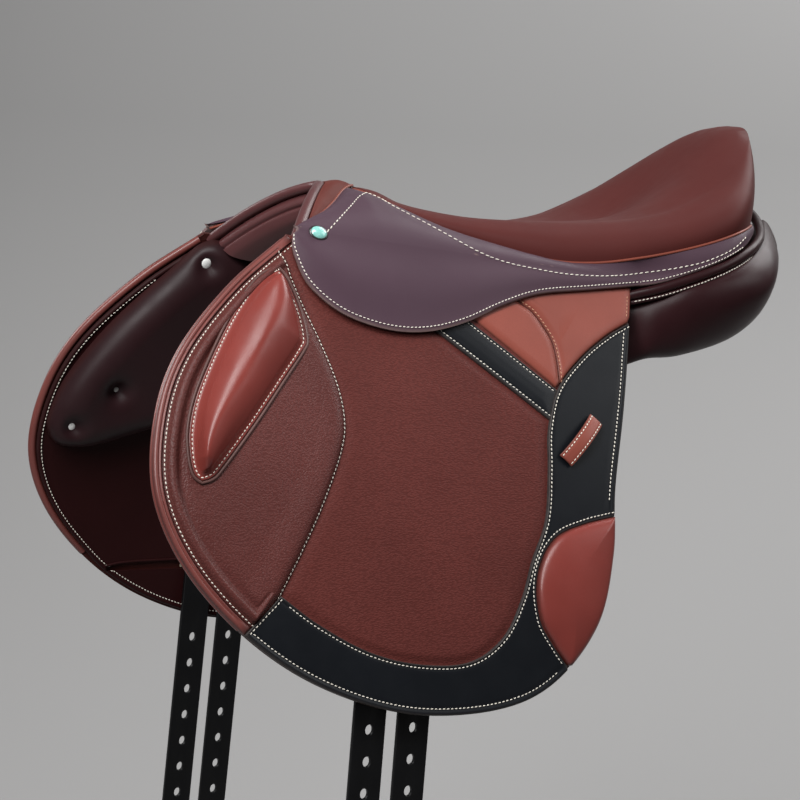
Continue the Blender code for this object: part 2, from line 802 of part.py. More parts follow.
def build_pommel(finishes):
    """Pommel cover, its piping, the rolled binding on the arch and the facing under it."""
    piping = pommel_line()
    last = len(piping) - 1
    grid = []
    for i in range(1, last + 1):
        across = -ARCH_HALF_WIDTH * (1 - i / last)
        front = arch_edge(across, BINDING_RADIUS + 0.002, 0.0008)
        rear = Vector(piping[i])
        rear += (front - rear).normalized() * (PIPING_RADIUS + GAP * 2)
        row = [front.lerp(rear, k / 3) for k in range(4)]
        for k in (1, 2):
            row[k].z += 0.002 * (i / last)
        grid.append(row)
    sheet_solid("pommel_cover", grid, SEAT_LEATHER, finishes["pommel"], (0, 0, 1), halved=True)
    loop = [Vector(point) for point in piping] + [off(point) for point in reversed(piping[:-1])]
    tube("pommel_piping", loop, PIPING_RADIUS, finishes["piping"], sides=1)
    bound = ARCH_HALF_WIDTH - BINDING_END
    edge = [arch_edge(bound * (k / 10 - 1), 0, BINDING_RADIUS) for k in range(21)]
    tube("facing_binding", edge, BINDING_RADIUS, finishes["facing"])
    grid = []
    for k in range(12):
        across = -ARCH_HALF_WIDTH * 0.97 * (1 - k / 11)
        grid.append(
            [
                arch_edge(across, 0.0030, 2 * BINDING_RADIUS + 0.0012),
                arch_edge(across, 0.0055, 0.0190),
                arch_edge(across, 0.0100, FACING_SINK + 0.0045),
                arch_edge(across, FACING_DEPTH, FACING_SINK + 0.0080),
            ]
        )
        if k == 11:
            for point in grid[-1]:
                point.y = 0
    sheet_solid("pommel_facing", grid, FACING_LEATHER, finishes["facing"], (-1, 0, -1), halved=True)


def run_point(run, share):
    """The point at this share of a run's length."""
    spans = [math.dist(a, b) for a, b in zip(run, run[1:])]
    left = share * sum(spans)
    for start, end, span in zip(run, run[1:], spans):
        if left <= span or end is run[-1]:
            return tuple(a + (b - a) * min(1, left / span) for a, b in zip(start, end))
        left -= span
    return run[-1]


def build_skirt(finishes):
    """The near skirt: its sewn band under the seat, and the lobe that lifts off the stirrup bar."""
    welt = seat_columns()[2]
    top = pommel_line()[1:-PIPING_STEPS] + [p for p in welt[2:] if p[0] < SKIRT_TAIL[-1][0] + BAND_OVER]
    edge = smooth_run(SKIRT_EDGE, 3)
    out = SKIRT_LIFT_OFF + SKIRT_LEATHER
    lower = [flap_point(along, down, out) for along, down in edge] + [let_out(point) for point in SKIRT_TAIL]
    lobe = []
    band = []
    count = 24
    for k in range(count + 1):
        share = k / count
        head = Vector(run_point(top, share))
        foot = Vector(run_point(lower, share))
        along = min(max(0.5 * (head.x + foot.x), LIFT_FRONT[0] + 0.002), LIFT_REAR[0])
        line_out = LIFT_OUT + SKIRT_LEATHER / 2
        line = flap_point(along, lift_down(along), line_out)
        if foot.x > LIFT_REAR[0]:
            line = foot
        above = flap_point(along, lift_down(along) - 0.010, line_out) - line
        if foot.x > LIFT_REAR[0]:
            above = Vector((0, -0.004, 0.010))
        rise = (head - line).length
        bend = line + above.normalized() * 0.45 * rise
        clear = WELT_RADIUS + 2 * SEAM + BAND_EASE * max(0, 1 - 6 * min(share, 1 - share))
        head = head + (bend - head).normalized() * clear
        low = line + (bend - line).normalized() * LIFT_CLEARANCE
        row = []
        for j in range(BAND_ACROSS + 1):
            m = j / BAND_ACROSS
            row.append(head * (1 - m) ** 2 + bend * 2 * m * (1 - m) + low * m * m)
        band.append(row)
        if foot.x <= LIFT_REAR[0]:
            lobe.append((foot, line))
    fixed = sheet_solid("skirt_band_near", band, SKIRT_LEATHER, finishes["skirt"], (0, -1, 0.3))
    grid = []
    for foot, line in lobe:
        start = line + (foot - line).normalized() * LIFT_CLEARANCE
        row = []
        for j in range(LOBE_DOWN + 1):
            m = j / LOBE_DOWN
            point = start.lerp(foot, m)
            swell = SKIRT_SWELL * math.sin(math.pi * m) * min(1, (foot - line).length / 0.06)
            point += Vector((0, -swell, swell * 0.4))
            row.append(point)
        grid.append(row)
    flying = sheet_solid("skirt_near", grid, SKIRT_LEATHER, finishes["skirt"], (0, -1, 0.3))
    return fixed, flying, build_stud(band, finishes["stud"])


def build_panel(finishes):
    """The near panel, stuffed and drawn in at its edges, and the gusset roll sewn along its rear top."""
    rings = []
    for x, *corners in PANEL_STATIONS:
        top_in, low_in, low_out, side, top_out = (Vector(corner) for corner in corners)
        swell = 0.06 * (low_out - low_in).length
        down = Vector((-(low_out - low_in).y, (low_out - low_in).x)).normalized()
        if down.y > 0:
            down.negate()
        loop = [
            top_in,
            (top_in + low_in) / 2 + Vector((0.0015, 0)),
            low_in,
            (low_in + low_out) / 2 + down * swell,
            low_out,
            side,
            top_out,
            (top_out + top_in) / 2,
        ]
        around = [tuple(point) for point in loop[-1:] + loop + loop[:2]]
        rings.append([let_out((x, y, z)) for y, z in smooth_run(around, 2)[2:18]])
    gusset = smooth_run([let_out(point) for point in GUSSET_LINE], 2)
    ends = []
    for ring, push in ((rings[0], -1), (rings[-1], 1)):
        middle = sum(ring, Vector()) / len(ring)
        ends.append([middle.lerp(point, 0.7) + Vector((push * PANEL_ROUND, 0, 0)) for point in ring])
    return [
        loft("panel_near", [ends[0]] + rings + [ends[1]], finishes["panel"], smooth=60),
        tube("rear_gusset_near", gusset, GUSSET_RADIUS, finishes["panel"], sides=1),
    ]


def flap_outline():
    """The near flap's pattern, with the notch in its top that clears the stirrup bar."""
    edge = smooth_run(FLAP_EDGE, 4)
    clear = BAR_NOTCH_CLEARANCE
    rear, front = BAR_FRONT + BAR_LENGTH + CATCH_LENGTH + clear, BAR_FRONT - clear
    floor = BAR_DOWN + BAR_HEIGHT / 2 + clear
    top = []
    for along, down in (
        (edge[-1][0], None),
        (rear, None),
        (rear, floor),
        (front, floor),
        (front, None),
        (edge[0][0], None),
    ):
        top.append((along, lift_down(along) + LIFT_CLEARANCE if down is None else down))
    return without_doubles(edge + top)


def build_flap(finishes):
    """The near flap with the leather sewn to its face."""
    edge = smooth_run(FLAP_EDGE, 4)
    base = GAP * 1.5
    face = base + OVERLAY_LEATHER
    made = [wrap_piece("flap_near", flap_outline(), -FLAP_LEATHER, 0, finishes["flap"])]
    rim = [i for i, point in enumerate(edge[:25]) if point[0] < SKIRT_EDGE[1][0] - 0.006]
    inner = inset_run(FLAP_EDGE, FRONT_ROLL_WIDTH, 4)
    roll = without_doubles(edge[rim[0] : 25] + list(reversed(inner[rim[0] : 25])))
    half = FRONT_ROLL_WIDTH / 2
    made.append(
        wrap_piece(
            "front_roll_near",
            roll,
            base,
            base + 0.0012,
            finishes["roll"],
            step=(0.5, 0.5),
            rings=(half * 0.3, half * 0.4),
            crown=lambda point, gap: FRONT_ROLL_HEIGHT * round_over(gap, half),
        )
    )
    front = inset_run(FLAP_EDGE, FRONT_ROLL_WIDTH + SEAM, 4)[rim[0] + 1 : 25]
    seam = smooth_run(KNEE_SEAM, 4)
    made.append(
        wrap_piece(
            "knee_panel_near",
            without_doubles(front + list(reversed(seam))),
            base,
            base + 0.001,
            finishes["flap"],
            rings=(0.003,),
            crown=lambda point, gap: KNEE_PANEL_HEIGHT * round_over(gap, 0.004),
        )
    )
    made.append(build_knee_block(base + 0.001 + KNEE_PANEL_HEIGHT + GAP, finishes["chestnut"]))
    guard_inner = smooth_run(GUARD_INNER, 3)
    moon_inner = smooth_run(HALF_MOON_INNER, 3)
    top = next(i for i, p in enumerate(edge) if p[0] > 0 and p[1] < HALF_MOON_INNER[0][1])
    low = next(i for i, p in enumerate(edge) if p[0] > HALF_MOON_INNER[-1][0])
    rear = [p for p in edge[top:] if p[1] > GUARD_INNER[-1][1]]
    corner = blend_points(edge[24], edge[25], GUARD_START)
    guard = [corner] + edge[25:low] + [(p[0] - SEAM, p[1]) for p in reversed(moon_inner)] + rear
    guard = without_doubles(guard + list(reversed(guard_inner)))
    made.append(wrap_piece("guard_near", guard, base, face, finishes["black"]))
    made.append(
        wrap_piece(
            "half_moon_pad_near",
            without_doubles(edge[low:top] + moon_inner),
            base,
            base + 0.0012,
            finishes["chestnut"],
            rings=(0.002, 0.004),
            crown=lambda point, gap: HALF_MOON_HEIGHT * round_over(gap, 0.012),
        )
    )
    strap = without_doubles(STRAP_LOWER + tuple(reversed(STRAP_UPPER)))
    made.append(wrap_piece("diagonal_strap_near", strap, base, face, finishes["black"]))
    corner = (STRAP_UPPER[1][0], STRAP_UPPER[1][1] - 2 * SEAM)
    along_guard = [(p[0], p[1] - 2 * SEAM) for p in guard_inner if p[1] < corner[1] - 0.003]
    rear_top = [p for p in edge if p[0] > 0 and along_guard[-1][1] - 0.002 > p[1] > SIDE_PANEL_TOP[0][1]]
    side = without_doubles(list(SIDE_PANEL_TOP) + [corner] + along_guard + rear_top)
    made.append(
        wrap_piece(
            "side_panel_near",
            side,
            base,
            base + 0.0006,
            finishes["chestnut"],
            rings=(0.002,),
            crown=lambda point, gap: SIDE_PANEL_HEIGHT * round_over(gap, 0.005),
        )
    )
    made.append(build_keeper(face + GAP, finishes["chestnut"]))
    return made


def build_knee_block(base, finish):
    """The padded knee block, with a ridge along it."""
    outline = without_doubles(smooth_run(KNEE_BLOCK_FRONT, 3) + smooth_run(KNEE_BLOCK_REAR, 3))
    ridge = smooth_run(KNEE_BLOCK_RIDGE, 4)

    def crown(point, gap):
        away = min(math.dist(point, place) for place in ridge)
        peak = 1 - 0.42 * min(1, away / 0.034)
        return KNEE_BLOCK_HEIGHT * peak * round_over(gap, 0.012)

    return wrap_piece(
        "knee_block_near",
        outline,
        base,
        base + 0.001,
        finish,
        step=(0.012, 0.012),
        rings=(0.002, 0.005),
        crown=crown,
    )


def build_keeper(base, finish):
    """The keeper loop that holds the end of a stirrup leather, raised off the guard between its sewn ends."""
    start, end = (Vector(point) for point in KEEPER_ENDS)
    side = Vector((end.y - start.y, start.x - end.x)).normalized() * KEEPER_WIDTH / 2
    rings = []
    for along, rise in ((0, 0), (0.14, 0), (0.22, 0.75), (0.32, 1), (0.68, 1), (0.78, 0.75), (0.86, 0), (1, 0)):
        place = start.lerp(end, along)
        out = base + KEEPER_RISE * rise
        rings.append(
            [
                flap_point(*(place - side), out),
                flap_point(*(place + side), out),
                flap_point(*(place + side), out + KEEPER_LEATHER),
                flap_point(*(place - side), out + KEEPER_LEATHER),
            ]
        )
    return loft("keeper_loop_near", rings, finish)


def build_lining(finishes):
    """The lining on the flap's inside, its tufted point pad and the web that carries the billets."""
    back = -FLAP_LEATHER - WEB_SPACE
    outline = without_doubles(inset_run(FLAP_EDGE, LINING_INSET, 3)[1:] + list(LINING_TOP))
    lining = wrap_piece(
        "lining_near", outline, back - LINING_LEATHER, back, finishes["lining"], step=(0.1, 0.036)
    )
    slot_low = SLOT_DOWN + SLOT_HEIGHT
    window = [
        (SLOT_ALONG[0], SLOT_DOWN + 0.003),
        (SLOT_ALONG[0] + 0.020, SLOT_DOWN),
        (SLOT_ALONG[1], SLOT_DOWN),
        (SLOT_ALONG[1], slot_low),
        (SLOT_ALONG[0], slot_low),
    ]
    cutter = wrap_piece("slot_cutter", window, back - 2 * LINING_LEATHER, back + WEB_SPACE, finishes["lining"])
    cut_away(lining, cutter)
    web_low = slot_low - SEAM
    front, rear = WEB_ALONG
    web = [(front, WEB_TOP), (rear, WEB_TOP), (rear, web_low), (front, web_low)]
    webbing = wrap_piece("billet_web_near", web, back + GAP, -FLAP_LEATHER - GAP, finishes["web"])
    base = back - LINING_LEATHER - GAP

    def crown(point, gap):
        height = POINT_PAD_HEIGHT * round_over(gap, 0.020)
        for tuft in POINT_TUFTS:
            height *= 1 - TUFT_DEPTH * math.exp(-((math.dist(point, tuft) / TUFT_RADIUS) ** 2))
        return -height

    pad = wrap_piece(
        "point_pad_near",
        without_doubles(smooth_run(POINT_PAD + POINT_PAD[:1], 2)),
        base,
        base - 0.0015,
        finishes["pad"],
        step=(0.014, 0.014),
        rings=(0.003, 0.006),
        crown=crown,
    )
    return [lining, webbing, pad]


def cut_away(item, cutter):
    """Cut one piece by another, which stays out of the saddle."""
    SADDLE.objects.unlink(cutter)
    CUTTERS.objects.link(cutter)
    cutter.hide_render = True
    cutter.display_type = "WIRE"
    boolean = item.modifiers.new("cut", "BOOLEAN")
    boolean.object = cutter
    boolean.operation = "DIFFERENCE"


def flat_outline(name, runs, thickness, finish):
    """A flat piece from closed outlines in its own X and Y. Outlines inside the first are holes."""
    curve = bpy.data.curves.new(name, "CURVE")
    curve.dimensions = "2D"
    curve.fill_mode = "BOTH"
    curve.extrude = thickness / 2
    for run in runs:
        spline = curve.splines.new("POLY")
        spline.points.add(len(run) - 1)
        for place, point in zip(spline.points, run):
            place.co = (*point, 0, 1)
        spline.use_cyclic_u = True
    curve.materials.append(finish)
    item = bpy.data.objects.new(name, curve)
    SADDLE.objects.link(item)
    return item


def arc(centre, radius, start, end, count):
    """Points along an arc, with its angles in degrees."""
    return [
        (
            centre[0] + radius * math.cos(math.radians(start + (end - start) * i / count)),
            centre[1] + radius * math.sin(math.radians(start + (end - start) * i / count)),
        )
        for i in range(count + 1)
    ]


def frame_matrix(place, x_axis, y_axis):
    """The matrix that puts a piece at a place, with its X and about its Y along these directions."""
    x_axis = x_axis.normalized()
    z_axis = x_axis.cross(y_axis).normalized()
    y_axis = z_axis.cross(x_axis)
    matrix = Matrix((x_axis, y_axis, z_axis)).transposed().to_4x4()
    matrix.translation = place
    return matrix


def flap_axes(along, down):
    """The directions along the flap, out from it and down it at a pattern point."""
    place = flap_point(along, down, 0)
    forward = flap_point(along + 0.001, down, 0) - place
    outward = flap_point(along, down, 0.001) - place
    downward = flap_point(along, down + 0.001, 0) - place
    return forward.normalized(), outward.normalized(), downward.normalized()


def build_bar(finishes):
    """The forged stirrup bar on the tree and the safety catch at its open end."""
    along, outward, downward = flap_axes(BAR_FRONT + BAR_LENGTH / 2, BAR_DOWN)
    whole = BAR_BASE + BAR_SLOT + BAR_BLADE
    radius = whole / 2
    middle = BAR_BASE + BAR_SLOT / 2
    outline = [(BAR_LENGTH + CATCH_LENGTH * 0.4, 0)]
    outline += arc((radius, radius), radius, 270, 90, 8)
    outline += [(BAR_LENGTH, whole), (BAR_LENGTH, whole - BAR_BLADE)]
    outline += arc((radius, middle), BAR_SLOT / 2, 90, 270, 8)
    outline += [(BAR_LENGTH + CATCH_LENGTH * 0.4, BAR_BASE)]
    bar = flat_outline("stirrup_bar_near", [without_doubles(outline)], BAR_HEIGHT, finishes["steel"])
    start = flap_point(BAR_FRONT, BAR_DOWN, BAR_OUT - whole)
    bar.matrix_world = frame_matrix(start, along, outward)
    end_radius = BAR_HEIGHT * 0.42
    long = CATCH_LENGTH - end_radius
    outline = arc((0, 0), end_radius, 90, 270, 6) + arc((long, 0), end_radius * 0.75, -90, 90, 6)
    catch = flat_outline("bar_catch_near", [outline], CATCH_WALL, finishes["steel"])
    pivot_along = BAR_FRONT + BAR_LENGTH + end_radius + 2 * GAP
    pivot = flap_point(pivot_along, BAR_DOWN, BAR_OUT - BAR_BLADE / 2)
    catch.matrix_world = frame_matrix(pivot, along, downward)
    return bar, catch, pivot, outward


def build_dee(finishes):
    """The dee ring under the skirt's front, and the folded chape that holds it to the flap."""
    along, _, downward = flap_axes(DEE_ALONG, DEE_DOWN)
    hold = DEE_WIRE + GAP
    stand = 1.5 * GAP + CHAPE_LEATHER + hold
    pivot = flap_point(DEE_ALONG, DEE_DOWN, stand)
    placed = frame_matrix(pivot, along, downward)
    leaned = math.asin((stand - hold) / DEE_DROP)
    hung = placed @ Matrix.Rotation(leaned, 4, "X")
    bow = arc((0, 0), 1, 0, 180, 10)
    ring = [(DEE_HALF_WIDTH * x, DEE_SHOULDER + (DEE_DROP - DEE_SHOULDER) * y) for x, y in bow]
    ring = [(-DEE_HALF_WIDTH, 0), (DEE_HALF_WIDTH, 0)] + ring
    dee = tube("dee_ring_near", [Vector((x, y, 0)) for x, y in ring], DEE_WIRE, finishes["steel"], sides=1)
    dee.data.splines[0].use_cyclic_u = True
    dee.matrix_world = hung
    outer = hold + CHAPE_LEATHER
    section = [(hold, -CHAPE_RISE)] + arc((0, 0), hold, 0, 180, 6) + [(-hold, -CHAPE_RISE)]
    section += [(-outer, -CHAPE_RISE)] + arc((0, 0), outer, 180, 0, 6) + [(outer, -CHAPE_RISE)]
    rings = [
        [placed @ Vector((side, down, inward)) for inward, down in section]
        for side in (-CHAPE_WIDTH / 2, CHAPE_WIDTH / 2)
    ]
    return dee, loft("dee_chape_near", rings, finishes["skirt"]), pivot, along


def build_billets(finishes):
    """The two punched billets that hang out of the lining's slot."""
    made = []
    length = BILLET_FIRST_HOLE + (BILLET_HOLES - 1) * BILLET_PITCH + BILLET_TIP
    half = BILLET_WIDTH / 2
    hung = Vector(
        (-math.sin(BILLET_LEAN_FORWARD), -math.sin(BILLET_LEAN_OUT), -math.cos(BILLET_LEAN_FORWARD))
    )
    for name, along in zip(("billet_front_near", "billet_rear_near"), BILLET_ALONG):
        outline = [(-half, 0), (half, 0), (half, -length + 0.020), (0.004, -length), (-0.004, -length)]
        outline.append((-half, -length + 0.020))
        holes = [
            arc((0, -BILLET_FIRST_HOLE - k * BILLET_PITCH), BILLET_HOLE / 2, 0, 315, 7)
            for k in range(BILLET_HOLES)
        ]
        strap = flat_outline(name, [outline] + holes, BILLET_LEATHER, finishes["black"])
        out = -FLAP_LEATHER - WEB_SPACE - LINING_LEATHER - BILLET_LEATHER / 2 - 2 * GAP
        pivot = flap_point(along, SLOT_DOWN + SLOT_HEIGHT / 2, out)
        direction = flap_axes(along, SLOT_DOWN)[0]
        across = direction - hung * direction.dot(hung)
        strap.matrix_world = frame_matrix(pivot, across, -hung)
        made.append((strap, pivot, direction))
    return made


def build_stud(band, finish):
    """The oval enamelled stud on the skirt's sewn band."""
    target = let_out(STUD_PLACE)
    best = math.inf
    for first, second in zip(band, band[1:]):
        for i in range(len(first) - 1):
            corners = (first[i], first[i + 1], second[i + 1], second[i])
            middle = sum(corners, Vector()) / 4
            if (middle - target).length < best:
                best = (middle - target).length
                facing = (corners[2] - corners[0]).cross(corners[3] - corners[1]).normalized()
                centre = middle
    if facing.y > 0:
        facing.negate()
    place = target - facing * ((target - centre).dot(facing) - STUD_CLEARANCE)
    mesh = bmesh.new()
    bmesh.ops.create_uvsphere(mesh, u_segments=16, v_segments=8, radius=STUD_RADIUS)
    bmesh.ops.bisect_plane(
        mesh,
        geom=mesh.verts[:] + mesh.edges[:] + mesh.faces[:],
        plane_co=(0, 0, 0),
        plane_no=(0, 0, 1),
        clear_inner=True,
    )
    bmesh.ops.edgeloop_fill(mesh, edges=[edge for edge in mesh.edges if edge.is_boundary])
    bmesh.ops.scale(mesh, vec=(1, STUD_OVAL, STUD_HEIGHT / STUD_RADIUS), verts=mesh.verts)
    stud = close_mesh("skirt_stud_near", mesh, finish)
    along = Vector((1, 0, 0))
    stud.matrix_world = frame_matrix(place, along, facing.cross(along))
    return stud


def pair(items):
    """The near pieces, settled, and their off-side twins."""
    near = [to_mesh(item) for item in items]
    return near, [mirror_piece(item) for item in near]


def main():
    """Build the whole saddle."""
    finishes = {
        "seat": make_finish("seat_leather", (0.13, 0.030, 0.028), 0.42),
        "pommel": make_finish("pommel_leather", (0.22, 0.050, 0.038), 0.45),
        "piping": make_finish("piping_leather", (0.30, 0.080, 0.050), 0.45),
        "facing": make_finish("facing_leather", (0.090, 0.040, 0.045), 0.45),
        "skirt": make_finish("skirt_leather", (0.095, 0.055, 0.080), 0.5),
        "panel": make_finish("panel_leather", (0.045, 0.014, 0.018), 0.4),
        "flap": make_finish("flap_leather", (0.150, 0.032, 0.026), 0.55),
        "roll": make_finish("roll_leather", (0.170, 0.040, 0.032), 0.48),
        "chestnut": make_finish("chestnut_leather", (0.300, 0.070, 0.045), 0.42),
        "black": make_finish("black_leather", (0.018, 0.018, 0.020), 0.5),
        "lining": make_finish("lining_leather", (0.050, 0.012, 0.014), 0.5),
        "pad": make_finish("pad_leather", (0.045, 0.018, 0.022), 0.42),
        "foam": make_finish("seat_foam", (0.70, 0.62, 0.42), 0.9),
        "web": make_finish("linen_web", (0.55, 0.48, 0.36), 0.9),
        "wood": make_finish("laminated_beech", (0.45, 0.28, 0.14), 0.6),
        "steel": make_finish("forged_steel", (0.55, 0.56, 0.58), 0.35, 1.0),
        "stud": make_finish("teal_enamel", (0.22, 0.48, 0.44), 0.3),
    }
    build_seat(finishes)
    build_tree(finishes)
    build_pommel(finishes)
    fixed, lobe, stud = build_skirt(finishes)
    still = build_panel(finishes) + [fixed, stud]
    flap = build_flap(finishes) + build_lining(finishes)
    bar, catch, catch_pivot, catch_axis = build_bar(finishes)
    dee, chape, dee_pivot, dee_axis = build_dee(finishes)
    billets = build_billets(finishes)
    still = pair(still + [bar])
    flap = pair(flap + [chape])
    lobe = pair([lobe])
    catch = pair([catch])
    dee = pair([dee])
    straps = [(pair([strap]), pivot, axis) for strap, pivot, axis in billets]
    line = [
        flap_point(along, down, LIFT_OUT + SKIRT_LEATHER / 2) for along, down in (LIFT_FRONT, LIFT_REAR)
    ]
    for side, name in enumerate(SIDES):
        turn = off if side else Vector
        flap_joint = joint_empty(f"flap_lift_{name}", turn(line[0]), turn(line[1]))
        hang_on(flap[side], flap_joint)
        skirt_joint = joint_empty(f"skirt_lift_{name}", turn(line[0]), turn(line[1]), flap_joint)
        hang_on(lobe[side], skirt_joint)
        catch_joint = joint_empty(
            f"catch_turn_{name}", turn(catch_pivot), turn(catch_pivot + catch_axis * 0.01)
        )
        hang_on(catch[side], catch_joint)
        dee_joint = joint_empty(
            f"dee_swing_{name}", turn(dee_pivot), turn(dee_pivot + dee_axis * 0.01), flap_joint
        )
        hang_on(dee[side], dee_joint)
        for index, (items, pivot, axis) in enumerate(straps):
            joint = joint_empty(
                f"billet_swing_{index}_{name}", turn(pivot), turn(pivot + axis * 0.01), flap_joint
            )
            hang_on(items[side], joint)


main()
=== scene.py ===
"""The looks of the eventing saddle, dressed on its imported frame.

The near side is at -Y, the pommel at -X and +Z is up, in metres. Leather on a flap is cut as a flat
pattern, as (along, down) points, wrapped on the flap's curve and raised by its padding. Each near-side
piece is made once and mirrored to its off-side twin.
"""

import logging
import math
from dataclasses import dataclass, field
from enum import Enum
from typing import Callable, Sequence

import bpy
import numpy as np
from mathutils import Matrix, Vector
from mathutils.bvhtree import BVHTree


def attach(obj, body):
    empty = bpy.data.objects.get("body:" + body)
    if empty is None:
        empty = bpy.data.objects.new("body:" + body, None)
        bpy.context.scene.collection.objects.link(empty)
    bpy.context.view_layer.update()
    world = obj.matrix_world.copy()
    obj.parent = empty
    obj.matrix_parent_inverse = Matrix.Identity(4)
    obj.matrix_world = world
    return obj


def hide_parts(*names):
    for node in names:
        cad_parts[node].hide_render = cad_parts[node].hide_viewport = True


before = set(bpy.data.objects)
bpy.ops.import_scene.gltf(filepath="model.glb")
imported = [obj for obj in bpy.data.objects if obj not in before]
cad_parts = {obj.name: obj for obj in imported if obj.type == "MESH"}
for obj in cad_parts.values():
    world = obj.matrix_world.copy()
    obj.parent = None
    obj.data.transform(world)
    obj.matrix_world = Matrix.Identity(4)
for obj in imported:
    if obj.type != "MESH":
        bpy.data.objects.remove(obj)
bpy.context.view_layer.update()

Array = np.ndarray
Item = bpy.types.Object
Material = bpy.types.Material
Socket = bpy.types.NodeSocket
Step = Callable[[], object]
Crown = Callable[[Array, Array], Array]
Color = tuple[float, float, float]
log = logging.getLogger("saddle")

# Flap patterns, as (along, down)
FLAP_EDGE = (
    (-0.196, 0.0045), (-0.246, 0.047), (-0.289, 0.098), (-0.31, 0.148), (-0.314, 0.203), (-0.293, 0.255),
    (-0.25, 0.303), (-0.196, 0.338), (-0.13, 0.359), (-0.06, 0.359), (-0.012, 0.341), (0.026, 0.3),
    (0.043, 0.248), (0.05, 0.197), (0.066, 0.134), (0.088, 0.045),
)
GUARD_INNER = (
    (-0.2264, 0.2731), (-0.198, 0.294), (-0.1605, 0.314), (-0.1218, 0.3239), (-0.0819, 0.3239),
    (-0.054, 0.3075), (-0.0372, 0.2802), (-0.0261, 0.2509), (-0.0125, 0.2213), (-0.0061, 0.1834),
    (-0.0023, 0.1527), (0.0098, 0.1212), (0.0329, 0.0966), (0.0583, 0.0779), (0.0814, 0.0654),
)
GUARD_MIDDLE = (
    (-0.233, 0.292), (-0.2, 0.314), (-0.15, 0.334), (-0.095, 0.342), (-0.055, 0.33), (-0.036, 0.304),
    (-0.03, 0.272), (-0.018, 0.235), (0.012, 0.201), (0.022, 0.16), (0.034, 0.122), (0.058, 0.092),
)
MOON_INNER = (
    (0.047, 0.219), (0.0401, 0.2202), (0.0197, 0.2246), (-0.0024, 0.2327), (-0.0163, 0.2475), (-0.0238, 0.2695),
    (-0.022, 0.2953), (-0.012, 0.314), (-0.001, 0.3295),
)
KNEE_SEAM = (
    (-0.2056, 0.017), (-0.1987, 0.0352), (-0.1912, 0.0608), (-0.1802, 0.0913), (-0.1713, 0.1214),
    (-0.1686, 0.1474), (-0.1731, 0.1696), (-0.1892, 0.2058), (-0.2083, 0.2412), (-0.228, 0.2745),
)
BLOCK_FRONT = (
    (-0.2095, 0.0326), (-0.2263, 0.0432), (-0.2469, 0.0685), (-0.2655, 0.099), (-0.2815, 0.1308),
    (-0.2889, 0.1549), (-0.29, 0.1745), (-0.2875, 0.189), (-0.2815, 0.1945),
)
BLOCK_REAR = (
    (-0.2815, 0.1945), (-0.2736, 0.192), (-0.2658, 0.1849), (-0.2388, 0.1525), (-0.2129, 0.119),
    (-0.1955, 0.0965), (-0.1924, 0.089), (-0.1935, 0.0727), (-0.1981, 0.0536), (-0.2035, 0.0392), (-0.2095, 0.0326),
)
BLOCK_RIDGE = (
    (-0.2105, 0.043), (-0.2128, 0.054), (-0.218, 0.069), (-0.234, 0.0952), (-0.2531, 0.1229), (-0.2725, 0.1521),
    (-0.283, 0.177),
)
STRAP = ((-0.104, 0.0634), (0.0004, 0.1452), (0.0092, 0.1214), (-0.084, 0.0469))
SIDE_TOP = ((0.0885, 0.033), (0.01, 0.033), (-0.04, 0.0375), (-0.0815, 0.044))
SIDE_DIVIDER = (
    (-0.024, 0.0335), (-0.019, 0.042), (-0.0115, 0.0519), (-0.0023, 0.059), (0.0058, 0.0717), (0.0109, 0.083),
    (0.0125, 0.0974), (0.0122, 0.116),
)
POINT_PAD = (
    (-0.207, 0.019), (-0.1985, 0.011), (-0.186, 0.007), (-0.17, 0.01), (-0.155, 0.018), (-0.15, 0.034),
    (-0.156, 0.07), (-0.176, 0.13), (-0.2042, 0.1719), (-0.2338, 0.185), (-0.2677, 0.195), (-0.293, 0.1935),
    (-0.303, 0.181), (-0.303, 0.164), (-0.293, 0.134), (-0.269, 0.094), (-0.24, 0.057), (-0.207, 0.019),
)
POINT_TUFTS = (((-0.1945, 0.024), 0.005), ((-0.253, 0.14), 0.0026), ((-0.286, 0.174), 0.0036))
LINING_TOP = ((0.083, 0.049), (-0.137, 0.049), (-0.146, 0.0098), (-0.185, 0.0066))
SKIRT_EDGE = (
    (-0.1935, 0.006), (-0.1955, 0.014), (-0.1945, 0.026), (-0.186, 0.048), (-0.163, 0.068), (-0.13, 0.079),
    (-0.098, 0.08), (-0.065, 0.072), (-0.03, 0.057), (0.004, 0.046), (0.05, 0.0405), (0.088, 0.036),
)

# Middle lines of the patterns, that their rings run in to
KNEE_MIDDLE = (
    (-0.206, 0.036), (-0.216, 0.07), (-0.227, 0.11), (-0.24, 0.15), (-0.246, 0.2), (-0.243, 0.24),
    (-0.24, 0.268),
)
MOON_MIDDLE = ((0.026, 0.238), (0.014, 0.26), (0.006, 0.286), (0.003, 0.304))
SIDE_FRONT_MIDDLE = ((-0.06, 0.052), (-0.038, 0.06), (-0.012, 0.08), (0.002, 0.096))
SIDE_REAR_MIDDLE = ((0.07, 0.048), (0.04, 0.053), (0.02, 0.064), (0.0165, 0.082), (0.016, 0.095))
LINING_MIDDLE = ((-0.12, 0.09), (-0.11, 0.18), (-0.125, 0.27))
POINT_PAD_MIDDLE = ((-0.18, 0.036), (-0.19, 0.07), (-0.216, 0.116), (-0.246, 0.156), (-0.262, 0.174))

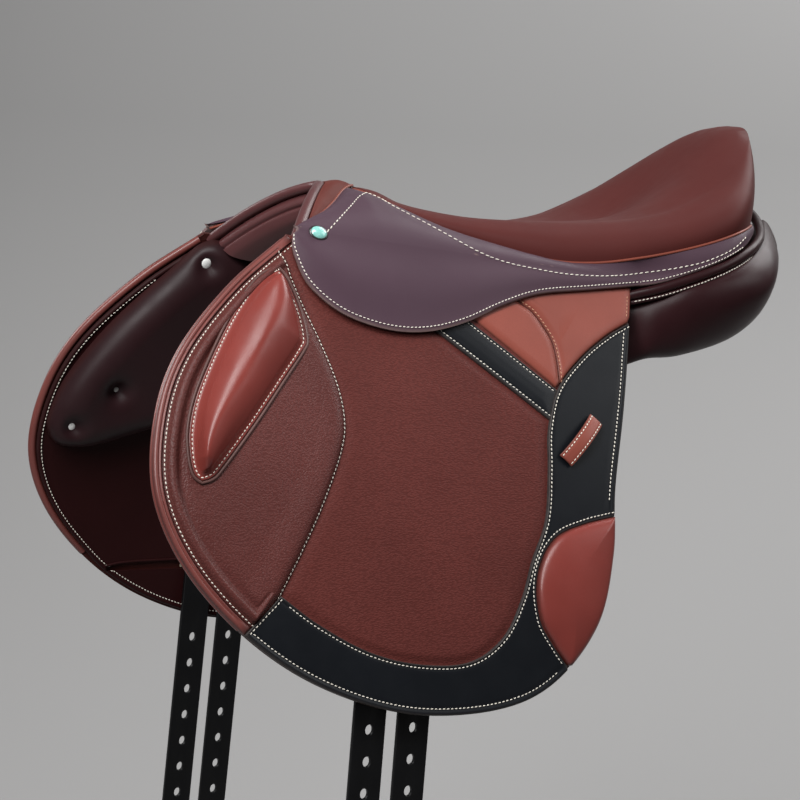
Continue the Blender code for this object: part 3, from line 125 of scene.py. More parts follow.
# Cut-outs with their middle lines, and runs on the flap
NOTCH = ((-0.13, -0.02), (-0.016, -0.02), (-0.016, 0.042), (-0.13, 0.042), (-0.13, -0.02))
NOTCH_MIDDLE = ((-0.11, 0.011), (-0.036, 0.011))
SLOT = (
    (-0.236, 0.307), (-0.216, 0.3035), (-0.156, 0.3025), (-0.096, 0.3035), (-0.076, 0.307), (-0.076, 0.311),
    (-0.236, 0.311), (-0.236, 0.307),
)
SLOT_MIDDLE = ((-0.225, 0.3085), (-0.087, 0.3085))
SLOT_LIP = ((-0.238, 0.3065), (-0.216, 0.303), (-0.156, 0.302), (-0.096, 0.303), (-0.074, 0.3065))
KEEPER_ENDS = ((0.0386, 0.1443), (0.0074, 0.1772))
BILLETS = {"billet_front": -0.1503, "billet_rear": -0.1157}

# The front roll and the knee panel's ridge, as (from the flap's edge, high), in millimetres
FRONT_PROFILE = (
    (0.0, 0.6), (0.4, 1.9), (1.0, 2.8), (2.0, 3.5), (3.0, 3.6), (3.8, 3.1), (4.3, 2.3), (4.8, 2.6), (5.5, 3.1),
    (6.2, 2.8), (6.8, 1.8), (7.2, 1.4), (7.6, 1.7), (8.2, 2.0), (8.9, 2.0), (9.5, 2.6), (10.4, 4.6), (11.6, 6.4),
    (12.8, 7.3), (13.8, 7.5), (15.0, 7.0), (16.2, 5.9), (17.4, 4.6), (18.4, 3.6), (20.0, 3.1), (24.0, 3.3),
    (30.0, 3.5),
)

# Lines in the saddle's own space, as (x, y, z)
SKIRT_TAIL = (
    (0.116, -0.125, 0.0462), (0.156, -0.132, 0.0612), (0.186, -0.127, 0.0752), (0.207, -0.1105, 0.0858),
    (0.219, -0.097, 0.0905),
)
GUSSET_LINE = (
    (0.082, -0.104, 0.0295), (0.094, -0.115, 0.0332), (0.116, -0.124, 0.04), (0.156, -0.13, 0.0548),
    (0.19, -0.1235, 0.069), (0.217, -0.106, 0.0815), (0.235, -0.082, 0.0935), (0.245, -0.058, 0.1045),
    (0.249, -0.033, 0.112),
)
POMMEL_PIPING = (
    (-0.188, -0.0865, 0.0697), (-0.1735, -0.072, 0.0763), (-0.1521, -0.053, 0.0855), (-0.1358, -0.036, 0.0944),
    (-0.1209, -0.018, 0.1034), (-0.111, -0.008, 0.1076), (-0.1035, 0.0, 0.109),
)

# Round the near half of the seat, from pommel to cantle: spine (x, z), rim and welt (x, y, z)
SEAT_STATIONS = (
    ((-0.06, 0.094), (-0.098, 0.0, 0.1078), (-0.105, 0.0, 0.1064)),
    ((-0.056, 0.0932), (-0.09, -0.01, 0.1052), (-0.102, -0.017, 0.1035)),
    ((-0.048, 0.0918), (-0.074, -0.021, 0.0973), (-0.086, -0.0375, 0.0945)),
    ((-0.036, 0.0905), (-0.051, -0.033, 0.092), (-0.059, -0.0565, 0.08)),
    ((-0.02, 0.09), (-0.022, -0.044, 0.0886), (-0.0262, -0.0732, 0.0698)),
    ((0.002, 0.0893), (0.015, -0.056, 0.088), (0.0225, -0.0952, 0.0583)),
    ((0.026, 0.089), (0.055, -0.068, 0.0893), (0.059, -0.1068, 0.0577)),
    ((0.048, 0.0885), (0.092, -0.08, 0.0926), (0.095, -0.117, 0.0635)),
    ((0.07, 0.088), (0.128, -0.088, 0.1002), (0.13, -0.1238, 0.0715)),
    ((0.088, 0.0885), (0.16, -0.09, 0.1138), (0.16, -0.1265, 0.08)),
    ((0.1, 0.09), (0.189, -0.086, 0.1303), (0.186, -0.1225, 0.0885)),
    ((0.108, 0.091), (0.215, -0.075, 0.1482), (0.209, -0.1045, 0.0945)),
    ((0.113, 0.092), (0.2385, -0.056, 0.1668), (0.231, -0.073, 0.0965)),
    ((0.116, 0.0925), (0.2525, -0.03, 0.18), (0.244, -0.0385, 0.098)),
    ((0.117, 0.093), (0.257, 0.0, 0.1838), (0.249, 0.0, 0.099)),
)

# Across the near panel, station by station: x, then (y, z) of five corners from the inner top round below
PANEL_STATIONS = (
    (-0.132, (-0.04, 0.066), (-0.042, 0.05), (-0.064, 0.024), (-0.07, 0.034), (-0.07, 0.046)),
    (-0.11, (-0.037, 0.062), (-0.039, 0.036), (-0.071, -0.002), (-0.0735, 0.018), (-0.0695, 0.042)),
    (-0.07, (-0.036, 0.056), (-0.039, 0.018), (-0.078, -0.028), (-0.0795, 0.004), (-0.0725, 0.038)),
    (-0.02, (-0.036, 0.05), (-0.039, 0.004), (-0.098, -0.037), (-0.101, 0.0), (-0.09, 0.036)),
    (0.035, (-0.036, 0.046), (-0.039, -0.003), (-0.106, -0.035), (-0.108, 0.0), (-0.098, 0.032)),
    (0.078, (-0.036, 0.047), (-0.04, 0.0), (-0.109, -0.027), (-0.109, 0.001), (-0.097, 0.028)),
    (0.096, (-0.036, 0.048), (-0.04, 0.003), (-0.113, -0.021), (-0.116, 0.004), (-0.106, 0.0275)),
    (0.112, (-0.036, 0.05), (-0.04, 0.007), (-0.116, -0.016), (-0.127, 0.009), (-0.117, 0.033)),
    (0.14, (-0.037, 0.054), (-0.042, 0.013), (-0.118, -0.012), (-0.1345, 0.016), (-0.1285, 0.0445)),
    (0.185, (-0.04, 0.064), (-0.045, 0.028), (-0.116, 0.002), (-0.138, 0.036), (-0.1275, 0.0625)),
    (0.216, (-0.046, 0.078), (-0.05, 0.042), (-0.11, 0.02), (-0.13, 0.051), (-0.11, 0.079)),
    (0.24, (-0.048, 0.09), (-0.055, 0.053), (-0.086, 0.036), (-0.106, 0.068), (-0.086, 0.094)),
    (0.256, (-0.047, 0.097), (-0.057, 0.066), (-0.068, 0.056), (-0.082, 0.078), (-0.066, 0.101)),
)

# Arch facing from its top edge inwards, as (back from the front edge, below it)
FACING_PROFILE = (
    (0.004, 0.008), (0.0024, 0.0104), (0.0018, 0.013), (0.0026, 0.0156), (0.0056, 0.0172), (0.004, 0.0188),
    (0.0046, 0.0208), (0.0078, 0.0245), (0.012, 0.0268), (0.02, 0.029), (0.03, 0.0305),
)

# Where the skirt's upper row runs and where the stud is, in picture points
UPPER_ROW = (
    (328, 231), (340, 218), (351, 206), (358, 198), (362, 195), (368, 193), (378, 197), (395, 207), (433, 227),
    (477, 251), (505, 262), (536, 269), (565, 274), (595, 276), (620, 275.5), (642, 273), (672, 269), (701, 263),
    (722, 255), (736, 247), (745, 238),
)
STUD_AT = (318.5, 233)

# Each lamp's place, its width and height, its power and what it looks at
LAMPS = {
    "key": ((-0.7, -0.95, 1.3), (0.8, 0.8), 20, (-0.02, -0.1, 0.08)),
    "left": ((-1.35, -0.9, 0.8), (0.45, 1.1), 25, (-0.15, 0.0, 0.0)),
    "right": ((1.15, -1.00, 0.85), (0.8, 0.8), 8, (0.1, -0.1, 0.05)),
    "off_side": ((-1.15, 1.25, 0.75), (0.9, 0.9), 14, (0.0, 0.1, 0.0)),
    "backdrop_lamp": ((2.2, 0.4, 2.2), (2.0, 2.0), 96, (0.9, 2.4, -0.3)),
}
MIRROR = np.array([1, -1, 1])


class Side(Enum):
    """The two sides of the saddle."""

    NEAR = "near"
    OFF = "off"


class Grain(Enum):
    """How a leather's surface is broken up."""

    SMOOTH = "smooth"
    PEBBLED = "pebbled"


def smooth(points: Sequence[Sequence[float]] | Array, steps: int = 10) -> Array:
    """A smooth open curve through points.

    Args:
        points: the points, in two or three dimensions.
        steps: how many pieces each span is cut into.

    Returns:
        The curve's points, one row each.
    """
    given = np.asarray(points, float)
    ends = np.vstack([2 * given[0] - given[1], given, 2 * given[-1] - given[-2]])
    k = np.arange(steps)[:, None] / steps
    spans = [
        0.5 * (2 * b + (c - a) * k + (2 * a - 5 * b + 4 * c - d) * k**2 + (3 * b - a - 3 * c + d) * k**3)
        for a, b, c, d in zip(ends, ends[1:], ends[2:], ends[3:])
    ]
    return np.vstack([*spans, given[-1:]])


def even(run: Array, step: float) -> Array:
    """The run with its points spaced evenly, about a step apart."""
    lengths = np.r_[0, np.cumsum(np.linalg.norm(np.diff(run, axis=0), axis=1))]
    at = np.linspace(0, lengths[-1], max(2, round(lengths[-1] / step) + 1))
    return np.stack([np.interp(at, lengths, run[:, i]) for i in range(run.shape[1])], axis=1)


def along_run(run: Array, shares: Array) -> Array:
    """The points at these shares of a run's length."""
    lengths = np.r_[0, np.cumsum(np.linalg.norm(np.diff(run, axis=0), axis=1))]
    return np.stack([np.interp(shares * lengths[-1], lengths, run[:, i]) for i in range(run.shape[1])], axis=1)


def beside(run: Array, by: float | Array) -> Array:
    """A flat run moved sideways.

    Args:
        run: the run's points.
        by: how far, to the left of its direction.

    Returns:
        The moved points.
    """
    way = np.gradient(run, axis=0)
    way /= np.linalg.norm(way, axis=1)[:, None]
    return run + by * np.stack([way[:, 1], -way[:, 0]], axis=1)


def gap_to(points: Array, run: Array, closed: bool = False) -> Array:
    """The distance from each flat point to a run.

    Args:
        points: flat points, one row each.
        run: the run's points.
        closed: whether the run's end joins its start.

    Returns:
        One distance for each point.
    """
    starts = run if closed else run[:-1]
    ends = np.roll(run, -1, axis=0) if closed else run[1:]
    edge = ends - starts
    length = np.maximum((edge**2).sum(1), 1e-14)
    least = np.full(len(points), np.inf)
    for start, way, square in zip(starts, edge, length):
        share = np.clip(((points - start) @ way) / square, 0, 1)
        least = np.minimum(least, np.linalg.norm(points - start - share[:, None] * way, axis=1))
    return least


def rounded(gap: Array, reach: float) -> Array:
    """A quarter round that rises from 0 at the edge to 1 at this reach from it."""
    return np.sqrt(np.clip(1 - (1 - np.clip(gap / reach, 0, 1)) ** 2, 0, 1))


def eased(value: Array, low: float, high: float) -> Array:
    """A smooth step from 0 at the low value to 1 at the high one."""
    k = np.clip((value - low) / (high - low), 0, 1)
    return k * k * (3 - 2 * k)


def bead(value: Array | float, at: float, width: float) -> Array:
    """A rounded ridge, 1 high at a value and this wide to each side."""
    return np.exp(-(((value - at) / width) ** 2))


def lift_down(along: Array) -> Array:
    """How far down the line that the flap and skirt lift on is, at these places along."""
    return 0.003 + 0.027 * (along + 0.197) / 0.29


@dataclass(frozen=True)
class FlapForm:
    """The curved form that all flap leather follows."""

    half_spread: float = 0.091
    top: float = 0.07
    lean: float = math.radians(27)
    curve: float = 1.086
    yaw: float = math.radians(3)

    def place(self, pattern: Array, out: Array | float) -> Array:
        """Where flat pattern points lie on the near flap.

        Args:
            pattern: (along, down) points in the last axis.
            out: how far out from the flap's face each point lies.

        Returns:
            The points in the saddle's frame.
        """
        along, down = pattern[..., 0], pattern[..., 1]
        lean = self.lean - down / self.curve
        width = self.half_spread + self.curve * (np.cos(lean) - math.cos(self.lean))
        width = width + out * np.cos(lean) + along * math.sin(self.yaw)
        height = self.top - self.curve * (math.sin(self.lean) - np.sin(lean)) + out * np.sin(lean)
        return np.stack([along * math.cos(self.yaw), -width, height], axis=-1)


FORM = FlapForm()
EDGE = smooth(FLAP_EDGE, 12)
GUARD_LINE = smooth(GUARD_INNER, 10)
MOON_LINE = smooth(MOON_INNER, 10)
SEAM_LINE = smooth(KNEE_SEAM, 10)
SEAM_EDGE = beside(SEAM_LINE, 0.001)
GUARD_START = 71  # where the guard's front end meets the flap's edge
MOON_LOW = next(i for i, p in enumerate(EDGE) if p[0] > MOON_INNER[-1][0])
MOON_TOP = next(i for i, p in enumerate(EDGE) if p[0] > 0 and p[1] < MOON_INNER[0][1])
SUNK = -0.0004  # how far the back of a sewn piece is set into the flap
EDGE_BOTTOM = 102  # the lowest point of the flap's edge
EDGE_INSETS = (0.0, 0.0004, 0.0009, 0.0016, 0.0025, 0.0036, 0.005, 0.0068)


@dataclass(frozen=True)
class Lens:
    """The photograph's camera."""

    target: Color = (-0.051, 0.0, -0.061)
    azimuth: float = -27.4
    elevation: float = 4.0
    roll: float = 3.0
    distance: float = 1.6
    focal: float = 88.785
    sensor: float = 36.0
    size: int = 800

    def matrix(self) -> Matrix:
        """The camera's pose.

        Returns:
            Its place and directions, in one matrix.
        """
        a, p, r = (math.radians(x) for x in (self.azimuth, self.elevation, self.roll))
        back = Vector((math.sin(a) * math.cos(p), -math.cos(a) * math.cos(p), math.sin(p)))
        right = (-back).cross(Vector((0, 0, 1))).normalized()
        up = right.cross(-back)
        turned = right * math.cos(r) + up * math.sin(r)
        above = up * math.cos(r) - right * math.sin(r)
        matrix = Matrix((turned, above, back)).transposed().to_4x4()
        matrix.translation = Vector(self.target) + back * self.distance
        return matrix

    def ray(self, across: float, down: float) -> tuple[Vector, Vector]:
        """The sight line through a place in the picture.

        Args:
            across: how far from the picture's left edge, in picture points.
            down: how far from its top.

        Returns:
            The eye and the direction.
        """
        matrix = self.matrix()
        scale = self.sensor / self.focal / self.size
        way = Vector(((across - self.size / 2) * scale, (self.size / 2 - down) * scale, -1))
        return matrix.translation, (matrix.to_3x3() @ way).normalized()

    def set_up(self) -> None:
        """Put the camera in the scene."""
        camera = bpy.data.cameras.new("camera")
        camera.lens = self.focal
        camera.sensor_width = self.sensor
        item = Bench.add("camera", camera)
        item.matrix_world = self.matrix()
        bpy.context.scene.camera = item


class Nodes:
    """A material's node tree, with short ways to add and join nodes."""

    def __init__(self, name: str) -> None:
        """Start a material that holds a Principled shader."""
        self.material = bpy.data.materials.new(name)
        self.material.use_nodes = True
        self.tree = self.material.node_tree
        self.shader = self.tree.nodes["Principled BSDF"]

    def add(self, kind: str, **values: object) -> bpy.types.Node:
        """Add a node.

        Args:
            kind: the node's kind.
            values: its properties and inputs, with _ for a space in an input's name.

        Returns:
            The node.
        """
        node = self.tree.nodes.new(kind)
        for name, value in values.items():
            if hasattr(node, name):
                setattr(node, name, value)
            else:
                node.inputs[name.replace("_", " ")].default_value = value
        return node

    def join(self, out: Socket, into: Socket) -> None:
        """Link an output to an input."""
        self.tree.links.new(out, into)

    def noise(self, scale: float, detail: float = 3, rough: float = 0.5, warp: float = 0.0) -> Socket:
        """A noise on the object's own coordinates.

        Args:
            scale: how fine it is.
            detail: how many finer noises it adds.
            rough: how strong they are.
            warp: how much it is bent.

        Returns:
            Its value.
        """
        node = self.add("ShaderNodeTexNoise", Scale=scale, Detail=detail, Roughness=rough, Distortion=warp)
        self.join(self.place(), node.inputs["Vector"])
        return node.outputs["Fac"]

    def place(self) -> Socket:
        """The object's own coordinates."""
        found = self.tree.nodes.get("place") or self.add("ShaderNodeTexCoord", name="place")
        return found.outputs["Object"]

    def ramp(
        self, value: Socket, low: float, high: float, start: float, end: float
    ) -> Socket:
        """A range of a value, spread over another range.

        Args:
            value: the value.
            low: where its range starts.
            high: where its range ends.
            start: what the low value becomes.
            end: what the high value becomes.

        Returns:
            The spread value.
        """
        node = self.add("ShaderNodeMapRange", From_Min=low, From_Max=high, To_Min=start, To_Max=end)
        self.join(value, node.inputs["Value"])
        return node.outputs["Result"]

    def mix(self, share: Socket, first: object, second: object) -> Socket:
        """One colour turned into another.

        Args:
            share: how far it is turned.
            first: the first colour, as three numbers or a socket.
            second: the second colour, likewise.

        Returns:
            The mixed colour.
        """
        node = self.add("ShaderNodeMix", data_type="RGBA")
        self.join(share, node.inputs[0])
        for socket, color in ((node.inputs[6], first), (node.inputs[7], second)):
            if isinstance(color, Socket):
                self.join(color, socket)
            else:
                socket.default_value = (*color, 1.0)
        return node.outputs[2]

    def bump(self, height: Socket, depth: float) -> None:
        """Raise the surface, over any bump that is there.

        Args:
            height: the height's shape, from 0 to 1.
            depth: how high 1 is.
        """
        node = self.add("ShaderNodeBump", Distance=depth, Strength=1.0)
        self.join(height, node.inputs["Height"])
        normal = self.shader.inputs["Normal"]
        if normal.is_linked:
            self.join(normal.links[0].from_socket, node.inputs["Normal"])
        self.join(node.outputs["Normal"], normal)


@dataclass(frozen=True)
class Leather:
    """A leather's colour, its darker depths, its worn edge, its gloss and its grain."""

    name: str
    color: Color
    edge: Color
    depth: float = 0.82
    rough: float = 0.42
    gloss: float = 0.28
    grain: Grain = Grain.SMOOTH
    grain_scale: float = 760.0
    grain_depth: float = 0.00024
    stretch: Color = (1.0, 1.0, 1.0)

    def make(self) -> Material:
        """Build the material.

        Returns:
            A procedural leather: cloudy dye, pores or pebbles, creases, and burnish along cut edges.
        """
        nodes = Nodes(self.name)
        shader = nodes.shader
        deep = tuple(self.depth * part for part in self.color)
        cloud = nodes.ramp(nodes.noise(16, 3, 0.5), 0.34, 0.68, 0.0, 1.0)
        dye = nodes.mix(cloud, self.color, deep)
        pores = nodes.noise(900, 2, 0.6)
        dye = nodes.mix(nodes.ramp(pores, 0.42, 0.62, 0.0, 0.35), dye, deep)
        rubbed = nodes.add("ShaderNodeAttribute", attribute_name="edge").outputs["Fac"]
        worn = nodes.add("ShaderNodeMath", operation="MULTIPLY")
        nodes.join(rubbed, worn.inputs[0])
        nodes.join(nodes.ramp(nodes.noise(130, 3, 0.6), 0.3, 0.6, 0.72, 1.0), worn.inputs[1])
        dye = nodes.mix(worn.outputs[0], dye, self.edge)
        rough = nodes.ramp(nodes.noise(60, 3), 0.3, 0.7, self.rough - 0.04, self.rough + 0.05)
        nodes.join(rough, shader.inputs["Roughness"])
        shader.inputs["Specular IOR Level"].default_value = self.gloss
        if self.grain is Grain.PEBBLED:
            bent = nodes.add("ShaderNodeVectorMath", operation="MULTIPLY_ADD")
            swirl = nodes.add("ShaderNodeTexNoise", Scale=260.0, Detail=2.0)
            nodes.join(nodes.place(), swirl.inputs["Vector"])
            nodes.join(swirl.outputs["Color"], bent.inputs[0])
            bent.inputs[1].default_value = (0.0022, 0.0022, 0.0022)
            nodes.join(nodes.place(), bent.inputs[2])
            drawn = nodes.add("ShaderNodeMapping", Scale=self.stretch)
            nodes.join(bent.outputs[0], drawn.inputs["Vector"])
            cell = nodes.add("ShaderNodeTexVoronoi", feature="SMOOTH_F1", Smoothness=0.35, Randomness=0.95)
            cell.inputs["Scale"].default_value = self.grain_scale
            nodes.join(drawn.outputs["Vector"], cell.inputs["Vector"])
            pebble = nodes.ramp(cell.outputs["Distance"], 0.0, 0.75, 1.0, 0.0)
            dye = nodes.mix(nodes.ramp(pebble, 0.1, 0.5, 0.45, 0.0), dye, tuple(0.5 * part for part in self.color))
            nodes.bump(pebble, self.grain_depth)
            nodes.bump(nodes.noise(1500, 2, 0.6), 0.00006)
        else:
            nodes.bump(nodes.noise(1300, 3, 0.6), 0.000025)
            nodes.bump(nodes.noise(180, 3, 0.55, 0.6), 0.00004)
        nodes.join(dye, shader.inputs["Base Color"])
        return nodes.material


@dataclass(frozen=True)
class Solid:
    """A metal, wood, web, foam or thread: its two colours and the noise that mixes them."""

    name: str
    color: Color
    deep: Color
    rough: float = 0.4
    metal: float = 0.0
    scale: float = 200.0
    stretch: Color = (1.0, 1.0, 1.0)
    bump: float = 0.00005
    coat: float = 0.0

    def make(self) -> Material:
        """Build the material.

        Returns:
            Two colours, mixed and raised by a stretched noise.
        """
        nodes = Nodes(self.name)
        turn = nodes.add("ShaderNodeMapping", Scale=self.stretch)
        nodes.join(nodes.place(), turn.inputs["Vector"])
        fleck = nodes.add("ShaderNodeTexNoise", Scale=self.scale, Detail=4.0, Roughness=0.6)
        nodes.join(turn.outputs["Vector"], fleck.inputs["Vector"])
        share = nodes.ramp(fleck.outputs["Fac"], 0.35, 0.65, 0.0, 1.0)
        nodes.join(nodes.mix(share, self.color, self.deep), nodes.shader.inputs["Base Color"])
        nodes.join(nodes.ramp(share, 0.0, 1.0, self.rough - 0.06, self.rough + 0.08), nodes.shader.inputs["Roughness"])
        nodes.shader.inputs["Metallic"].default_value = self.metal
        nodes.shader.inputs["Coat Weight"].default_value = self.coat
        nodes.shader.inputs["Coat Roughness"].default_value = 0.12
        nodes.bump(fleck.outputs["Fac"], self.bump)
        return nodes.material


class Bench:
    """Modelling by operators, as at a workbench."""

    @staticmethod
    def hold(item: Item) -> None:
        """Select an object alone and make it active.

        Args:
            item: the object.
        """
        bpy.ops.object.select_all(action="DESELECT")
        item.select_set(True)
        bpy.context.view_layer.objects.active = item

    @staticmethod
    def add(name: str, data: bpy.types.ID) -> Item:
        """Put a mesh, curve, lamp or camera in the scene.

        Args:
            name: the object's name.
            data: what it shows.

        Returns:
            The new object.
        """
        item = bpy.data.objects.new(name, data)
        bpy.context.scene.collection.objects.link(item)
        return item

    @classmethod
    def edit(cls, item: Item, *steps: Step) -> None:
        """Run steps on all of an object's mesh in edit mode.

        Args:
            item: the object.
            steps: the operators to call, in order.
        """
        cls.hold(item)
        bpy.ops.object.mode_set(mode="EDIT")
        bpy.ops.mesh.select_mode(type="VERT")
        bpy.ops.mesh.select_all(action="SELECT")
        for step in steps:
            step()
        bpy.ops.object.mode_set(mode="OBJECT")

    @classmethod
    def grid(cls, name: str, points: Array, edge: Array | None = None) -> Item:
        """A grid whose crossings are moved to points.

        Args:
            name: the object's name.
            points: rows by columns by three.
            edge: how much of an edge each point is, from 0 to 1.

        Returns:
            The open sheet.
        """
        bpy.ops.object.select_all(action="DESELECT")
        rows, columns = points.shape[:2]
        bpy.ops.mesh.primitive_grid_add(x_subdivisions=columns - 1, y_subdivisions=rows - 1, size=1)
        item = bpy.context.object
        item.name = item.data.name = name
        item.data.vertices.foreach_set("co", points.reshape(-1).astype(np.float32))
        mark = item.data.attributes.new("edge", "FLOAT", "POINT")
        values = np.zeros(rows * columns) if edge is None else edge.reshape(-1)
        mark.data.foreach_set("value", values.astype(np.float32))
        return item

    @classmethod
    def apply(cls, item: Item, kind: str, **values: object) -> None:
        """Add a modifier, set it and apply it.

        Args:
            item: the object.
            kind: the modifier's kind.
            values: its settings.
        """
        cls.hold(item)
        modifier = item.modifiers.new(kind.lower(), kind)
        for name, value in values.items():
            setattr(modifier, name, value)
        bpy.ops.object.modifier_apply(modifier=modifier.name)

    @classmethod
    def finish(cls, item: Item, material: Material, angle: float = 40) -> Item:
        """Shade an object smooth and give it its only material.

        Args:
            item: the object.
            material: its material.
            angle: edges sharper than this stay sharp, in degrees.

        Returns:
            The same object.
        """
        item.data.shade_smooth()
        item.data.set_sharp_from_angle(angle=math.radians(angle))
        item.data.materials.clear()
        item.data.materials.append(material)
        return item

    @classmethod
    def closed(cls, name: str, rings: Array, edge: Array | None = None) -> Item:
        """A closed form through rings, with its first and last ring filled.

        Args:
            name: the object's name.
            rings: rings by points by three, each ring closed on itself.
            edge: how much of an edge each point is.

        Returns:
            The closed form, with its faces outwards.
        """
        wrapped = np.concatenate([rings, rings[:, :1]], axis=1)
        marks = None if edge is None else np.concatenate([edge, edge[:, :1]], axis=1)
        item = cls.grid(name, wrapped, marks)
        cls.edit(
            item,
            lambda: bpy.ops.mesh.remove_doubles(threshold=1e-6),
            lambda: bpy.ops.mesh.select_all(action="SELECT"),
            lambda: bpy.ops.mesh.fill_holes(sides=0),
            lambda: bpy.ops.mesh.select_all(action="DESELECT"),
            lambda: bpy.ops.mesh.select_face_by_sides(number=4, type="GREATER"),
            lambda: bpy.ops.mesh.quads_convert_to_tris(quad_method="BEAUTY", ngon_method="BEAUTY"),
            lambda: bpy.ops.mesh.select_all(action="SELECT"),
            lambda: bpy.ops.mesh.normals_make_consistent(inside=False),
        )
        return item

    @classmethod
    def sheet(
        cls,
        name: str,
        points: Array,
        thickness: float,
        outward: Color,
        edge: Array | None = None,
        round_by: float = 0.0,
    ) -> Item:
        """A leather on a grid of points of its outer face.

        Args:
            name: the object's name.
            points: rows by columns by three.
            thickness: how thick the leather is, to its inner side.
            outward: about where its outer face looks.
            edge: how much of an edge each point is.
            round_by: how much its cut edges are rounded, or 0.

        Returns:
            The closed leather.
        """
        item = cls.grid(name, points, edge)
        cls.edit(item, lambda: bpy.ops.mesh.remove_doubles(threshold=1e-6))
        faces = item.data.polygons
        if sum((face.normal * face.area).dot(Vector(outward)) for face in faces) < 0:
            cls.edit(item, lambda: bpy.ops.mesh.flip_normals())
        cls.apply(item, "SOLIDIFY", thickness=thickness, offset=-1, use_even_offset=round_by > 0)
        if round_by:
            cls.apply(item, "BEVEL", width=round_by, segments=2, limit_method="ANGLE", angle_limit=math.radians(50))
        return item

    @classmethod
    def convert(cls, curve: bpy.types.Curve, runs: Sequence[Array], closed: bool) -> Item:
        """Draw runs in a curve and turn it into a mesh.

        Args:
            curve: the curve, with its thickness set.
            runs: the points of each run, in three dimensions.
            closed: whether each run's end joins its start.

        Returns:
            The mesh object, with the curve's name.
        """
        for run in runs:
            spline = curve.splines.new("POLY")
            spline.points.add(len(run) - 1)
            spline.points.foreach_set("co", np.c_[run, np.ones(len(run))].reshape(-1))
            spline.use_cyclic_u = closed
        cls.hold(cls.add(curve.name, curve))
        bpy.ops.object.convert(target="MESH")
        return bpy.context.object

    @classmethod
    def tube(
        cls,
        name: str,
        points: Array,
        radius: float,
        material: Material,
        sides: int = 3,
        closed: bool = False,
    ) -> Item:
        """A round cord of leather or wire, with closed ends.

        Args:
            name: the cord's name.
            points: its middle line.
            radius: its radius.
            material: its material.
            sides: how finely it is rounded.
            closed: whether its end joins its start.

        Returns:
            The cord, finished.
        """
        curve = bpy.data.curves.new(name, "CURVE")
        curve.dimensions = "3D"
        curve.bevel_depth = radius
        curve.bevel_resolution = sides
        curve.use_fill_caps = True
        item = cls.convert(curve, [points], closed)
        cls.mend(item)
        return cls.finish(item, material, 60)

    @classmethod
    def ball(cls, name: str, radius: float, faces: tuple[int, int], *steps: Step) -> Item:
        """A ball, changed by steps in edit mode.

        Args:
            name: the object's name.
            radius: the ball's radius.
            faces: how many faces it has around and from pole to pole.
            steps: the operators that change it, in order.

        Returns:
            The changed ball.
        """
        bpy.ops.object.select_all(action="DESELECT")
        bpy.ops.mesh.primitive_uv_sphere_add(segments=faces[0], ring_count=faces[1], radius=radius)
        item = bpy.context.object
        item.name = item.data.name = name
        cls.edit(item, *steps)
        return item

    @classmethod
    def mend(cls, item: Item) -> None:
        """Merge a mesh's doubles and turn its faces outwards."""
        cls.edit(
            item,
            lambda: bpy.ops.mesh.remove_doubles(threshold=1e-6),
            lambda: bpy.ops.mesh.normals_make_consistent(inside=False),
        )

    @staticmethod
    def ground(*items: Item) -> BVHTree:
        """The faces of finished pieces, to lay stitches on.

        Args:
            items: the pieces.

        Returns:
            A tree of all their faces.
        """
        points: list[Vector] = []
        faces: list[list[int]] = []
        for item in items:
            base = len(points)
            points += [vertex.co.copy() for vertex in item.data.vertices]
            faces += [[base + i for i in face.vertices] for face in item.data.polygons]
        return BVHTree.FromPolygons(points, faces)

    @classmethod
    def twin(cls, item: Item) -> Item:
        """The off-side twin of a near-side piece.

        Args:
            item: the near-side piece.

        Returns:
            The twin, with its own mesh.
        """
        data = item.data.copy()
        data.transform(Matrix.Scale(-1, 4, (0, 1, 0)))
        data.flip_normals()
        data.name = item.name.replace("_near", "_off")
        return cls.add(data.name, data)


@dataclass
class Pattern:
    """A flat leather pattern, whose rings run from its cut edge to its middle line."""

    outline: Array
    middle: Array
    insets: tuple[float, ...] = EDGE_INSETS
    inner: int = 12

    def lay(self) -> Array:
        """The flat rings.

        Returns:
            Rings by points by two, from the edge inwards.
        """
        steps = self.middle[1:] - self.middle[:-1]
        best = np.full(len(self.outline), np.inf)
        target = np.zeros_like(self.outline)
        for start, way in zip(self.middle, steps):
            share = np.clip(((self.outline - start) @ way) / (way @ way), 0, 1)
            foot = start + share[:, None] * way
            far = np.linalg.norm(self.outline - foot, axis=1)
            closer = far < best
            best[closer], target[closer] = far[closer], foot[closer]
        count = len(self.insets)
        shares = [np.minimum(inset / best, 0.55 * i / (count - 1)) for i, inset in enumerate(self.insets)]
        last = shares[-1]
        for i in range(1, self.inner + 1):
            shares.append(last + (0.97 - last) * i / self.inner)
        ways = target - self.outline
        return np.stack([self.outline + share[:, None] * ways for share in shares])

    def wrap(self, name: str, base: float, crown: Crown) -> Item:
        """Wrap the leather on the flap.

        Args:
            name: the piece's name.
            base: how far out its back lies.
            crown: how far out its face lies, from flat points and their distance to the cut edge.

        Returns:
            The closed piece.
        """
        lay = self.lay()
        flat = lay.reshape(-1, 2)
        gap = gap_to(flat, self.outline, closed=True)
        out = crown(flat, gap).reshape(lay.shape[:2])
        mark = bead(gap, 0, 0.0011).reshape(lay.shape[:2])
        under = lay[[0, len(self.insets) - 1, -1]]
        rings = np.concatenate([FORM.place(lay, out)[::-1], FORM.place(under, base)])
        edge = np.concatenate([mark[::-1], np.ones(under.shape[:2])])
        return Bench.closed(name, rings, edge)


